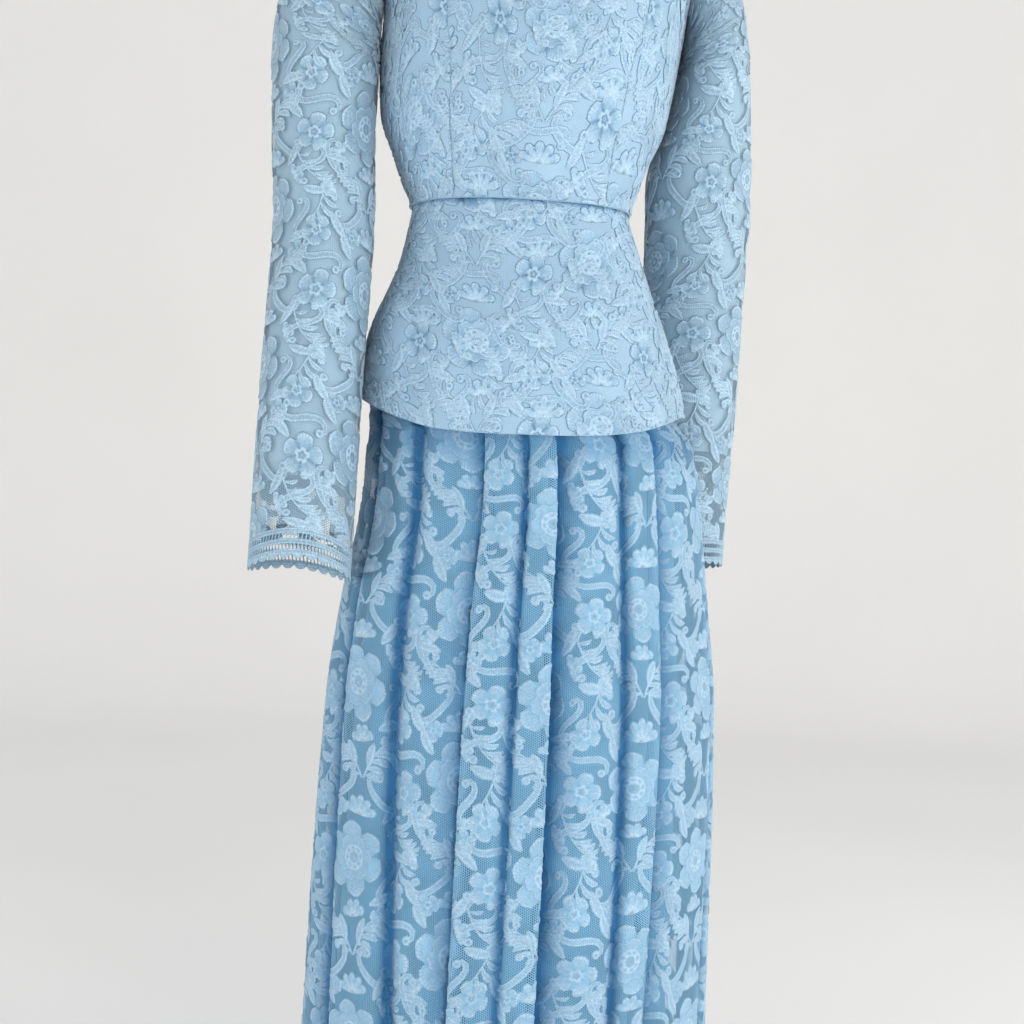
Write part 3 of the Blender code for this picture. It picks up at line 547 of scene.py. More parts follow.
def sleeve(around, along, arm):
    """A point of the sleeve: along is 0 at the armhole and 1 at the wrist."""
    around = np.asarray(around, float)
    along = np.asarray(along, float)
    first_z = arm.sections[0].z
    start = armhole_ring(around, arm.side)
    start = start + np.array([arm.side * arm.seam_offset, 0.0, 0.0])
    first = arm_ring(around, first_z + 0 * around, arm)
    turn = np.radians(around)
    outer = (1 + np.cos(turn)) / 2
    leave_x = mix(CAP_UNDERARM_SPREAD, arm.cap_spread, outer)
    leave_y = -CAP_FORWARD_SPREAD * np.sin(turn)
    leave_z = -mix(CAP_UNDERARM_DROP, CAP_SHOULDER_DROP, outer)
    leave = np.stack([arm.side * leave_x, leave_y, leave_z], axis=-1)
    height = (start[..., 2] - first[..., 2])[..., None]
    arrive = np.concatenate([0 * height, 0 * height, -arm.cap_fall * height], axis=-1)
    t = np.clip(along / CAP_SHARE, 0, 1)[..., None]
    cap = hermite(start, first, leave, arrive, t)
    low = np.clip((along - CAP_SHARE) / (1 - CAP_SHARE), 0, 1)
    tube = arm_ring(around, mix(first_z, cuff_z(around, arm.hem), low), arm)
    return np.where(along[..., None] <= CAP_SHARE, cap, tube)


# Motifs of the lace, flat, in millimetres. A ring or band gives a share of the motif's reach or
# half width, its height, and its tone from 0, painted shadow at the foot of the raised cords and in
# the dips between them, to 1, a pale cord. The points of a motif have x, y, height, tone, the
# place along its threads, and how far the threads show.
Ring = namedtuple("Ring", "share height tone")
CENTRE_RINGS = [
    Ring(0.00, 0.60, 0.95),
    Ring(0.12, 0.05, 0.15),
    Ring(0.17, 0.65, 1.00),
]
CENTRE_EDGE_RINGS = [
    Ring(0.31, 0.65, 1.00),
    Ring(0.36, 0.15, 0.30),
]
# The ring of small eyelets between them, and the inner tier's share of the outer one; the eyelets
# are low dips painted dark, painted shade standing for small holes
EYELET_RING = 0.245
EYELET_HEIGHT = 0.6
EYELET_PAINTED_SHADE = 0.95
EYELETS = 8
INNER_TIER = 0.64
# The petals' own rings: the share runs from the tier inside to the tier's edge
TIER_RINGS = [
    Ring(0.05, 0.25, 0.45),
    Ring(0.78, 0.40, 0.56),
    Ring(0.90, 0.95, 1.00),
    Ring(1.00, 0.05, 0.12),
]
SMALL_FLOWER_RINGS = [
    Ring(0.00, 0.60, 0.95),
    Ring(0.14, 0.10, 0.15),
    Ring(0.26, 0.70, 1.00),
    Ring(0.38, 0.25, 0.40),
    Ring(0.78, 0.45, 0.62),
    Ring(0.90, 0.90, 1.00),
    Ring(1.00, 0.00, 0.12),
]
FAN_RINGS = [
    Ring(0.00, 0.30, 0.60),
    Ring(0.26, 0.75, 1.00),
    Ring(0.74, 0.40, 0.52),
    Ring(0.88, 0.85, 1.00),
    Ring(1.00, 0.00, 0.12),
]
KNOB_RINGS = [
    Ring(0.15, 0.20, 0.25),
    Ring(0.66, 0.95, 1.00),
    Ring(1.00, 0.00, 0.15),
]
FINGER_BANDS = [
    Ring(-1.00, 0.00, 0.12),
    Ring(-0.64, 0.85, 1.00),
    Ring(0.00, 0.35, 0.50),
    Ring(0.64, 0.85, 1.00),
    Ring(1.00, 0.00, 0.12),
]
SCROLL_BANDS = [
    Ring(-1.00, 0.00, 0.12),
    Ring(-0.72, 0.90, 1.00),
    Ring(-0.34, 0.30, 0.50),
    Ring(0.34, 0.30, 0.50),
    Ring(0.72, 0.90, 1.00),
    Ring(1.00, 0.00, 0.12),
]
STEM_BANDS = [
    Ring(-1.00, 0.00, 0.20),
    Ring(0.00, 0.80, 1.00),
    Ring(1.00, 0.00, 0.20),
]

# Where two petals or lobes meet, a ring loses these shares of its height and tone, the darker
# tone being painted shade in the groove between them
NOTCH_HEIGHT = 0.5
NOTCH_PAINTED_SHADE = 0.6

# Points along each kind of motif, or round a knob or one petal of it
PETAL_POINTS = 7
SMALL_PETAL_POINTS = 5
LOBE_POINTS = 4
KNOB_POINTS = 8
FINGER_POINTS = 5
STEM_POINTS = 8
SCROLL_POINTS = 13
FAN_SPREAD = 170.0
# Width and bend of a feather's fingers for their length, and a scroll's knobs for its width
FINGER_WIDTH = 0.36
FINGER_BEND = 0.20
KNOB_SIZE = 0.62

# One repeat of the lace; the next column of repeats stands half a repeat higher
REPEAT_WIDTH = 118.0
REPEAT_HEIGHT = 160.0
# How far the second layer of scrolls on the top stands from the first
FILLING_SHIFT = (62.0, 46.0)
# The skirt's raised lace starts this far below its waist, under the peplum
SKIRT_LACE_TOP = 165.0
Flower = namedtuple("Flower", "x y radius petals turn")
LARGE_FLOWERS = [
    Flower(36, 40, 35, 6, 12),
]
SMALL_FLOWERS = [
    Flower(96, 112, 21, 5, 40),
    Flower(92, 8, 17, 5, 10),
    Flower(12, 84, 11, 5, 20),
    Flower(72, 150, 12, 5, 50),
]
# Curved fingers that fan out from one side of a bent stem; side is 1 or -1
Feather = namedtuple("Feather", "x y turn length bend side fingers reach")
FEATHERS = [
    Feather(38, 118, 118, 44, 0.10, 1, 6, 21),
    Feather(40, 118, 66, 46, -0.12, -1, 6, 23),
    Feather(78, 92, -72, 50, 0.14, 1, 6, 20),
    Feather(104, 60, -96, 46, -0.12, 1, 6, 20),
]
Scroll = namedtuple("Scroll", "x y turn length curl_start curl_end width")
SCROLLS = [
    Scroll(14, 108, 76, 74, -2.9, -2.9, 8.0),
    Scroll(62, 106, 104, 72, 2.9, 2.9, 8.0),
    Scroll(90, 76, 28, 66, -2.6, 2.8, 7.5),
    Scroll(98, 144, -14, 66, 2.8, -2.6, 7.5),
    Scroll(116, 86, 84, 60, 2.8, 2.6, 7.0),
    Scroll(76, 22, 66, 54, -2.8, 2.6, 7.0),
    Scroll(8, 148, 112, 52, 2.6, 2.8, 7.0),
]
Fan = namedtuple("Fan", "x y turn radius lobes")
FANS = [
    Fan(38, 81, 90, 21, 5),
    Fan(40, 150, 95, 16, 4),
    Fan(70, 66, 20, 14, 4),
    Fan(114, 52, 200, 16, 4),
    Fan(6, 10, 140, 14, 4),
]
Leaf = namedtuple("Leaf", "x y turn length width bend")
LEAVES = [
    Leaf(64, 78, 52, 28, 12, 0.10),
    Leaf(12, 64, 128, 26, 12, -0.10),
    Leaf(80, 52, -24, 26, 12, 0.12),
    Leaf(108, 26, -70, 28, 12, 0.10),
    Leaf(46, 128, 78, 24, 11, -0.08),
    Leaf(30, 128, 104, 24, 11, 0.08),
    Leaf(84, 128, 128, 28, 12, 0.12),
    Leaf(60, 2, 20, 26, 11, -0.10),
    Leaf(14, 2, 160, 26, 11, 0.10),
]

# Border at the wrist, millimetres up from the edge: scallops, and flat bands with open ladders
# of slanting bars between them
SCALLOP_RADIUS = 6.0
SCALLOP_POINTS = 9
BAND_POINTS = 100
LADDER_BANDS = [6.5, 16.5, 26.5]
BAND_HALF_WIDTH = 2.6
BAR_STEP = 3.6
BAR_SLANT = 1.6
BAR_HALF_WIDTH = 0.7

# The whole lace is drawn a little out of true, so that no two repeats hang the same
Warp = namedtuple("Warp", "across down phase size")
WARPS = [
    Warp(0.013, 0.027, 0.4, 3.2),
    Warp(0.031, -0.011, 2.1, 2.0),
]


def cells(rows, columns):
    """The first corner of each cell of a grid of points."""
    return (np.arange(rows - 1)[:, None] * columns + np.arange(columns - 1)).reshape(-1)


def triangles(rows, columns):
    """Two triangles for each cell of a grid, as on a flat motif whose rows go up."""
    corner = cells(rows, columns)
    first = np.stack([corner, corner + 1, corner + columns + 1], axis=1)
    second = np.stack([corner, corner + columns + 1, corner + columns], axis=1)
    return np.concatenate([first, second])


def quads(rows, columns):
    """One face for each cell of a grid, as on a cloth whose rows go down."""
    corner = cells(rows, columns)
    return np.stack([corner + columns, corner + columns + 1, corner + 1, corner], axis=1)


def joined(parts):
    """Several motifs, each points and faces, as one."""
    points, faces = [], []
    start = 0
    for some_points, some_faces in parts:
        points.append(some_points)
        faces.append(some_faces + start)
        start += len(some_points)
    return np.concatenate(points), np.concatenate(faces)


def placed(motif, x, y, degrees):
    """A motif turned and moved on the flat."""
    points, faces = motif
    turn = math.radians(degrees)
    c, s = math.cos(turn), math.sin(turn)
    out = points.copy()
    out[:, 0] = x + points[:, 0] * c - points[:, 1] * s
    out[:, 1] = y + points[:, 0] * s + points[:, 1] * c
    return out, faces


def strip(path, half_widths, bands):
    """A raised strip along a path of points, with its bands across it and threads to its sides."""
    heading = np.gradient(path, axis=0)
    heading /= np.linalg.norm(heading, axis=1, keepdims=True)
    left = np.stack([-heading[:, 1], heading[:, 0]], axis=1)
    shares = np.array([b.share for b in bands])
    spots = path[None] + left[None] * half_widths[None, :, None] * shares[:, None, None]
    thin = np.sqrt(half_widths / half_widths.max())
    heights = np.array([b.height for b in bands])[:, None] * thin[None, :]
    tones = np.array([b.tone for b in bands])[:, None] + 0 * heights
    steps = np.linalg.norm(np.diff(path, axis=0), axis=1)
    threads = np.concatenate([[0], np.cumsum(steps)])[None, :] + 0 * heights
    rest = np.stack([heights, tones, threads, 1 + 0 * heights], axis=-1)
    points = np.concatenate([spots, rest], axis=-1)
    return points.reshape(-1, 6), triangles(len(bands), len(path))


def curve(length, count, turns):
    """Points and headings along a curve; turns(share) is how fast it turns at a share of it."""
    s = np.linspace(0, 1, count)
    speed = turns(s)
    heading = np.concatenate([[0], np.cumsum((speed[:-1] + speed[1:]) / 2)]) / (count - 1)
    heading *= 2 * math.pi
    step = length / (count - 1)
    between = (heading[:-1] + heading[1:]) / 2
    x = np.concatenate([[0], np.cumsum(np.cos(between))]) * step
    y = np.concatenate([[0], np.cumsum(np.sin(between))]) * step
    return np.stack([x, y], axis=1), heading


def disc(reaches, heights, tones, angles):
    """Rings of points round a centre; its threads run outwards and fade towards the centre."""
    reaches = reaches + 0 * angles[None, :]
    x = reaches * np.cos(angles)[None, :]
    y = reaches * np.sin(angles)[None, :]
    threads = (angles * reaches[-1].mean() * 0.7)[None, :] + 0 * x
    ribbed = ease(reaches / reaches[-1].mean() * 2 - 0.6)
    points = np.stack([x, y, heights + 0 * x, tones + 0 * x, threads, ribbed], axis=-1)
    return points.reshape(-1, 6), triangles(*x.shape)


def rosette(rings, radius_at, angles, notch):
    """A disc of rings; notch is 1 where two petals meet and 0 on a petal."""
    shares = np.array([r.share for r in rings])[:, None]
    petal = (shares > 0.3) * notch[None, :]
    heights = np.array([r.height for r in rings])[:, None] * (1 - NOTCH_HEIGHT * petal)
    # Painted shade darkens the groove where two petals meet
    tones = np.array([r.tone for r in rings])[:, None] * (1 - NOTCH_PAINTED_SHADE * petal)
    return disc(shares * radius_at[None, :], heights, tones, angles)


def petal_edge(petals, scallops):
    """Reach of the petals' edge and the notch between them, at a count of petals round."""
    within = petals % 1.0
    lobe = np.sqrt(np.sin(math.pi * within))
    scallop = np.abs(np.sin(math.pi * scallops * within)) * np.sin(math.pi * within)
    return 0.68 + 0.25 * lobe + 0.07 * scallop, (1 - lobe) ** 2


def large_flower(f):
    """Two tiers of scalloped petals round a ring of small eyelets."""
    count = PETAL_POINTS * f.petals
    angles = np.linspace(0, math.tau, count + 1)
    petals = np.linspace(0, f.petals, count + 1)
    inner, inner_notch = petal_edge(petals + 0.5, 2)
    outer, outer_notch = petal_edge(petals, 3)
    flat = np.ones(count + 1)
    hole = (1 + np.cos(angles * EYELETS)) / 2
    rings = [[value * flat for value in ring] for ring in CENTRE_RINGS]
    # The eyelets are painted dark: painted shade for each small hole
    rings.append([EYELET_RING * flat, EYELET_HEIGHT * (1 - hole), 1 - EYELET_PAINTED_SHADE * hole])
    rings += [[value * flat for value in ring] for ring in CENTRE_EDGE_RINGS]
    start = CENTRE_EDGE_RINGS[-1].share * flat
    for edge, notch in ((inner * INNER_TIER, inner_notch), (outer, outer_notch)):
        for r in TIER_RINGS:
            # Painted shade darkens the grooves between petals
            height, tone = r.height * (1 - NOTCH_HEIGHT * notch), r.tone * (1 - NOTCH_PAINTED_SHADE * notch)
            rings.append([mix(start, edge, r.share), height, tone])
        start = edge
    reaches, heights, tones = np.array(rings).transpose(1, 0, 2)
    return placed(disc(f.radius * reaches, heights, tones, angles), f.x, f.y, f.turn)


def small_flower(f):
    count = SMALL_PETAL_POINTS * f.petals
    angles = np.linspace(0, math.tau, count + 1)
    edge, notch = petal_edge(np.linspace(0, f.petals, count + 1), 2)
    return placed(rosette(SMALL_FLOWER_RINGS, f.radius * edge, angles, notch), f.x, f.y, f.turn)


def fan(f):
    share = np.linspace(0, 1, LOBE_POINTS * f.lobes + 1)
    lobe = np.sin(math.pi * ((share * f.lobes) % 1.0)) ** 0.6
    radius_at = f.radius * (0.80 + 0.20 * lobe)
    angles = np.radians(FAN_SPREAD * (share - 0.5))
    return placed(rosette(FAN_RINGS, radius_at, angles, (1 - lobe) ** 2), f.x, f.y, f.turn)


def knob(radius, x, y):
    angles = np.linspace(0, math.tau, KNOB_POINTS)
    return placed(rosette(KNOB_RINGS, radius + 0 * angles, angles, 0 * angles), x, y, 0)


def finger(length, bend):
    """A comma of thread with a round head."""
    path, _ = curve(length, FINGER_POINTS, lambda s: bend * (0.3 + 1.4 * s))
    share = np.linspace(0, 1, FINGER_POINTS)
    widths = FINGER_WIDTH * length / 2 * (0.25 + 0.75 * np.sin(math.pi * share ** 1.5))
    return strip(path, widths, FINGER_BANDS)


def leaf(f):
    path, _ = curve(f.length, FINGER_POINTS, lambda s: f.bend * (0.3 + s))
    widths = f.width / 2 * np.sin(math.pi * np.linspace(0.05, 0.96, FINGER_POINTS)) ** 0.75
    return placed(strip(path, widths, FINGER_BANDS), f.x, f.y, f.turn)


def feather(f):
    path, heading = curve(f.length, STEM_POINTS, lambda s: f.bend * (0.4 + 1.2 * s))
    parts = [strip(path, np.linspace(1.6, 0.9, STEM_POINTS), STEM_BANDS)]
    for i in range(f.fingers):
        share = (i + 0.4) / f.fingers
        at = share * (STEM_POINTS - 1)
        x, y = (np.interp(at, np.arange(STEM_POINTS), path[:, k]) for k in range(2))
        size = f.reach * (0.62 + 0.38 * math.sin(math.pi * share))
        facing = math.degrees(heading[int(at)]) + f.side * (52 - 30 * share)
        parts.append(placed(finger(size, f.side * FINGER_BEND), x, y, facing))
    return placed(joined(parts), f.x, f.y, f.turn)


def scroll(f):
    """A band that curls up at both ends, each in a round knob."""

    def turns(s):
        start = f.curl_start * np.clip(1 - 2 * s, 0, 1) ** 1.5
        return start + f.curl_end * np.clip(2 * s - 1, 0, 1) ** 1.5

    path, _ = curve(f.length, SCROLL_POINTS, turns)
    path = path - path.mean(axis=0)
    widths = f.width / 2 * (0.62 + 0.38 * np.sin(math.pi * np.linspace(0, 1, SCROLL_POINTS)))
    parts = [strip(path, widths, SCROLL_BANDS)]
    parts += [knob(f.width * KNOB_SIZE, *path[end]) for end in (0, -1)]
    return placed(joined(parts), f.x, f.y, f.turn)


def motifs(*kinds):
    """Every motif of some kinds, each given as its function and its table."""
    return joined([make(f) for make, table in kinds for f in table])


# Feathers, scrolls and fans alone fill the ground between the flowers of the top
FILLING = motifs((feather, FEATHERS), (scroll, SCROLLS), (fan, FANS))
FLOWERS = motifs((large_flower, LARGE_FLOWERS), (small_flower, SMALL_FLOWERS))
ONE_REPEAT = joined([FLOWERS, FILLING, motifs((leaf, LEAVES))])


def warped(points):
    out = points.copy()
    for w in WARPS:
        at = points[:, 0] * w.across + points[:, 1] * w.down + w.phase
        out[:, 0] += w.size * np.sin(at)
        out[:, 1] += w.size * np.cos(at * 1.3)
    return out


def all_over(repeat, low, high, length, start, top=0.0):
    """A repeat laid over a width from low to high and a length, millimetres, y from 0 down."""
    parts = []
    first = math.floor((low - start[0]) / REPEAT_WIDTH) - 1
    last = math.ceil((high - start[0]) / REPEAT_WIDTH) + 1
    for i in range(first, last):
        x = start[0] + i * REPEAT_WIDTH
        y = start[1] + (i % 2) * REPEAT_HEIGHT / 2
        for j in range(-2 - math.ceil(length / REPEAT_HEIGHT), 3):
            points = warped(repeat[0] + [x, y + j * REPEAT_HEIGHT, 0, 0, 0, 0])
            inside = (points[:, 0] > low) & (points[:, 0] < high)
            inside &= (points[:, 1] < -top) & (points[:, 1] > -length)
            if inside.any():
                parts.append((points, repeat[1]))
    return joined(parts)


def ended(motif, bottom):
    """The lace down to a line, cut off below it."""
    points, faces = motif
    return points, faces[(points[faces, 1] > bottom).all(axis=1)]


def wrist_border(low, high, length):
    """Bands, ladder bars and scallops round a cuff that ends at y = -length."""
    parts = []
    along = np.linspace(low, high, BAND_POINTS)
    for up in LADDER_BANDS:
        path = np.stack([along, 0 * along + up - length], axis=1)
        parts.append(strip(path, BAND_HALF_WIDTH + 0 * along, SCROLL_BANDS))
    for lower, upper in zip(LADDER_BANDS[:-1], LADDER_BANDS[1:]):
        for x in np.arange(low, high, BAR_STEP):
            path = np.array([[x, lower - length], [x + BAR_SLANT, upper - length]])
            parts.append(strip(path, np.full(2, BAR_HALF_WIDTH), STEM_BANDS))
    for x in np.arange(low + SCALLOP_RADIUS, high, 2 * SCALLOP_RADIUS):
        angles = np.linspace(-math.pi, 0, SCALLOP_POINTS)
        lobes = rosette(FAN_RINGS, SCALLOP_RADIUS + 0 * angles, angles, 0 * angles)
        parts.append(placed(lobes, x, LADDER_BANDS[0] - length, 0))
    return joined(parts)


# Soft troughs and ridges on the cloth, metres: across from the piece's middle line, down from
# its top, degrees from the downward line, and depth, below 0 for a ridge
Crease = namedtuple("Crease", "across down turn length half_width depth")
SLEEVE_CREASES = [
    Crease(-0.055, 0.330, 62, 0.110, 0.011, 0.0030),
    Crease(0.035, 0.352, -55, 0.120, 0.012, 0.0034),
    Crease(-0.020, 0.395, 74, 0.095, 0.010, 0.0024),
    Crease(0.060, 0.300, -70, 0.080, 0.010, 0.0022),
    Crease(0.000, 0.140, 20, 0.130, 0.014, 0.0026),
    Crease(-0.075, 0.120, -18, 0.110, 0.012, 0.0022),
    Crease(0.080, 0.160, 12, 0.120, 0.013, -0.0020),
    Crease(-0.110, 0.420, 58, 0.100, 0.012, 0.0026),
    Crease(0.115, 0.400, -60, 0.105, 0.012, 0.0026),
    Crease(0.020, 0.500, 6, 0.160, 0.013, -0.0018),
    Crease(-0.060, 0.540, -4, 0.150, 0.014, 0.0020),
]
FRONT_CREASES = [
    Crease(-0.050, 0.290, -36, 0.085, 0.010, 0.0011),
    Crease(0.048, 0.300, 40, 0.080, 0.010, 0.0011),
    Crease(0.010, 0.330, 80, 0.110, 0.008, 0.0008),
]
SIDE_CREASES = [
    Crease(0.000, 0.200, 50, 0.090, 0.011, 0.0013),
    Crease(0.004, 0.300, 72, 0.080, 0.009, 0.0011),
]
BACK_CREASES = [
    Crease(-0.020, 0.240, 64, 0.110, 0.012, 0.0014),
    Crease(0.020, 0.320, 78, 0.120, 0.010, 0.0014),
    Crease(0.035, 0.120, 28, 0.120, 0.014, 0.0012),
]
PEPLUM_CREASES = [
    Crease(-0.130, 0.120, 14, 0.170, 0.015, 0.0036),
    Crease(-0.075, 0.150, 8, 0.120, 0.013, -0.0018),
    Crease(0.110, 0.140, -10, 0.140, 0.015, 0.0018),
    Crease(0.030, 0.170, -4, 0.090, 0.012, 0.0009),
]

CLOTH_STEP = 0.0015
SEAM_DEPTH = 0.0004
SEAM_HALF_WIDTH = 0.0016
# The turned hem: its depth, how far it stands proud, and its rounded edge with a row of stitches
HEM_DEPTH = 0.0130
HEM_RAISE = 0.0006
HEM_EDGE = 0.0015
HEM_STITCH_DEPTH = 0.8
HEM_STITCH_HALF_WIDTH = 0.0012
# The places near an edge of a sheet, and where its even places begin
EDGE_PLACES = np.array([0.0010, 0.0022, 0.0040])
EDGE_REACH = 0.0060
LACE_LIFT = 0.00025
MILLIMETRE = 0.001
# How much higher the cords stand on the lined top than on open lace
TOP_RELIEF = 1.5

# Cloth laid on a form: rows of points from the top down, their normals, and how far each point
# is across the cloth from its middle line and down from its top edge; shade is 1 deep in a fold
Cloth = namedtuple("Cloth", "points normals across down shade")


def normals_of(points):
    """Unit normals of a grid whose rows go down and whose columns go to the viewer's right."""
    normals = np.cross(np.gradient(points, axis=1), -np.gradient(points, axis=0))
    length = np.linalg.norm(normals, axis=-1, keepdims=True)
    return normals / np.maximum(length, 1e-12)


def crease_depth(cloth, creases):
    """How far the cloth sinks at each of its points."""
    down = np.broadcast_to(cloth.down[:, None], cloth.across.shape)
    depth = np.zeros(cloth.across.shape)
    for c in creases:
        turn = math.radians(c.turn)
        x, y = cloth.across - c.across, down - c.down
        off = (x * math.cos(turn) - y * math.sin(turn)) / c.half_width
        along = (x * math.sin(turn) + y * math.cos(turn)) / (c.length / 2)
        depth += c.depth * np.exp(-off * off) * bump(along)
    return depth


def lay(surface, columns, rows, creases=(), seams=True, hem=False, shade=None):
    """Lays cloth on a form, rows from the top down, with creases, sunk seams and a folded hem."""
    v, u = np.meshgrid(rows, columns, indexing="ij")
    points = surface(u, v)
    middle = len(columns) // 2
    steps = np.linalg.norm(np.diff(points, axis=1), axis=-1)
    across = np.concatenate([np.zeros((len(rows), 1)), np.cumsum(steps, axis=1)], axis=1)
    across = across - across[:, middle : middle + 1]
    fall = np.linalg.norm(np.diff(points[:, middle], axis=0), axis=-1)
    down = np.concatenate([[0], np.cumsum(fall)])
    shades = 0 * u if shade is None else shade(u, v)
    cloth = Cloth(points, normals_of(points), across, down, shades)
    sink = crease_depth(cloth, creases)
    if seams:
        to_edge = np.minimum(across - across[:, :1], across[:, -1:] - across)
        sink = sink + SEAM_DEPTH * np.exp(-((to_edge / SEAM_HALF_WIDTH) ** 2))
    if hem:
        up = (down[-1] - down)[:, None]
        stitches = np.exp(-(((up - HEM_DEPTH) / HEM_STITCH_HALF_WIDTH) ** 2))
        turned_up = ease((HEM_DEPTH - up) / HEM_EDGE)
        sink = sink - HEM_RAISE * (turned_up - HEM_STITCH_DEPTH * stitches)
    points = points - cloth.normals * sink[..., None]
    return Cloth(points, normals_of(points), across, down, shades)


def make_object(name, points, faces, uvs, material, values):
    """A smooth mesh object with its cloth coordinates, in metres, as UVs, and named values."""
    mesh = bpy.data.meshes.new(name)
    mesh.from_pydata(points.tolist(), [], faces.tolist())
    corner_points = np.empty(len(mesh.loops), dtype=np.int64)
    mesh.loops.foreach_get("vertex_index", corner_points)
    layer = mesh.uv_layers.new(name="cloth")
    layer.data.foreach_set("uv", uvs[corner_points].astype(np.float32).ravel())
    for key, value in values.items():
        attribute = mesh.attributes.new(key, "FLOAT", "POINT")
        attribute.data.foreach_set("value", value.astype(np.float32))
    mesh.shade_smooth()
    mesh.materials.append(material)
    made = bpy.data.objects.new(name, mesh)
    bpy.context.collection.objects.link(made)
    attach(made, "root")
    return made


def cloth_object(name, cloth, thickness, material):
    """The sheet itself: one layer, or a closed wall where its thickness isn't 0."""
    rows, columns = cloth.across.shape
    down = np.broadcast_to(cloth.down[:, None], cloth.across.shape)
    uvs = np.stack([cloth.across, -down], axis=-1).reshape(-1, 2)
    points = cloth.points.reshape(-1, 3)
    shades = cloth.shade.reshape(-1)
    faces = quads(rows, columns)
    if thickness:
        count = len(points)
        inner = (cloth.points - cloth.normals * thickness).reshape(-1, 3)
        index = np.arange(count).reshape(rows, columns)
        edge = np.concatenate([index[0], index[1:, -1], index[-1, -2::-1], index[-2::-1, 0]])
        rim = np.stack([edge[:-1], edge[1:], edge[1:] + count, edge[:-1] + count], axis=1)
        faces = np.concatenate([faces, faces[:, ::-1] + count, rim])
        points = np.concatenate([points, inner])
        uvs = np.concatenate([uvs, uvs])
        shades = np.concatenate([shades, shades])
    # The painted shade goes with the cloth as a value at each of its points
    made = make_object(name, points, faces, uvs, material, {"painted_shade": shades})
    if thickness:
        made.data.set_sharp_from_angle(angle=math.radians(60))
    return made


def lace_object(name, cloth, motif, material, relief=1.0):
    """Raised lace laid on a cloth; what passes an edge of the cloth is cut at that edge."""
    flat, faces = motif
    x, y = flat[:, 0] * MILLIMETRE, -flat[:, 1] * MILLIMETRE
    rows = len(cloth.down)
    places = np.arange(cloth.across.min(), cloth.across.max() + CLOTH_STEP, CLOTH_STEP)
    known = np.concatenate([cloth.points, cloth.normals, cloth.shade[..., None]], axis=-1)
    table = np.empty((rows, len(places), known.shape[-1]))
    for r, k in np.ndindex(rows, known.shape[-1]):
        table[r, :, k] = np.interp(places, cloth.across[r], known[r, :, k])
    row = np.interp(y, cloth.down, np.arange(rows))
    low = np.interp(row, np.arange(rows), cloth.across[:, 0])
    high = np.interp(row, np.arange(rows), cloth.across[:, -1])
    inside = (x > low) & (x < high) & (y > 0) & (y < cloth.down[-1])
    held = np.clip(x, low, high)
    column_at = np.clip((held - places[0]) / CLOTH_STEP, 0, len(places) - 1.001)
    r0 = np.clip(row.astype(int), 0, rows - 2)
    c0 = column_at.astype(int)
    fr, fc = (row - r0)[:, None], (column_at - c0)[:, None]
    upper = mix(table[r0, c0], table[r0, c0 + 1], fc)
    lower = mix(table[r0 + 1, c0], table[r0 + 1, c0 + 1], fc)
    spot = mix(upper, lower, fr)
    height = np.where(inside, flat[:, 2] * MILLIMETRE * relief, 0.0) + LACE_LIFT
    points = spot[:, :3] + spot[:, 3:6] * height[:, None]
    kept = faces[inside[faces].any(axis=1)]
    used = np.unique(kept)
    renumbered = np.zeros(len(points), dtype=np.int64)
    renumbered[used] = np.arange(len(used))
    uvs = np.stack([x, -y], axis=1)[used]
    tone, thread, rib = flat[used, 3:].T
    # The raised lace takes the painted shade of the cloth under it
    values = {"tone": tone, "thread": thread, "rib": rib, "painted_shade": spot[used, 6]}
    return make_object(name, points[used], renumbered[kept], uvs, material, values)


# Materials

# Painted shade: the cloth's colour is multiplied by this in folds, under the peplum and at its tuck
PAINTED_SHADE_TINT = (0.06, 0.28, 0.48, 1.0)
# How much of the net's holes close where shade is painted: the net lies doubled deep in the
# folds, and the closed net carries the painted shade, also under the peplum where it is single
LAYERS_AND_SHADE_COVER = 0.85
# Millimetres from one thread of a motif to the next
THREAD_STEP = 2.1
THREAD_CONTRAST = 0.07
# How much of what lies below shows in the holes of the lace's fill, and the size of those holes
FILL_OPENNESS = 0.62
FILL_CELL = 0.0019
# Width of the cells of each net
TOP_CELL = 0.0021
SKIRT_CELL = 0.0022
SLEEVE_CELL = 0.0023
GROUND_SATIN = (0.250, 0.400, 0.535, 1.0)
GROUND_THREAD = (0.300, 0.455, 0.585, 1.0)
SKIRT_NET = (0.195, 0.400, 0.565, 1.0)
SLEEVE_NET = (0.255, 0.380, 0.480, 1.0)
SATIN = (0.050, 0.245, 0.450, 1.0)
LIGHT_LINING = (0.270, 0.395, 0.490, 1.0)
# Colours of the raised lace, by the tone of the motif: 0 is painted shadow at the foot of the cords
# and 1 the cord
LaceColours = namedtuple("LaceColours", "outline fill cord")
TOP_LACE = LaceColours(
    (0.055, 0.155, 0.270, 1.0), (0.262, 0.408, 0.540, 1.0), (0.350, 0.490, 0.605, 1.0)
)
SKIRT_LACE = LaceColours(
    (0.120, 0.290, 0.440, 1.0), (0.240, 0.375, 0.505, 1.0), (0.320, 0.455, 0.570, 1.0)
)
SLEEVE_LACE = LaceColours(
    (0.095, 0.200, 0.300, 1.0), (0.245, 0.375, 0.480, 1.0), (0.360, 0.495, 0.600, 1.0)
)


def add(tree, kind, settings, inputs):
    """A shader node; an input's value is a number, a colour or another node's output."""
    made = tree.nodes.new(kind)
    for name, value in settings.items():
        setattr(made, name, value)
    for name, value in inputs.items():
        if isinstance(value, bpy.types.NodeSocket):
            tree.links.new(value, made.inputs[name])
        else:
            made.inputs[name].default_value = value
    return made


def math_node(tree, operation, first, second=0.0):
    return add(tree, "ShaderNodeMath", {"operation": operation}, {0: first, 1: second}).outputs[0]


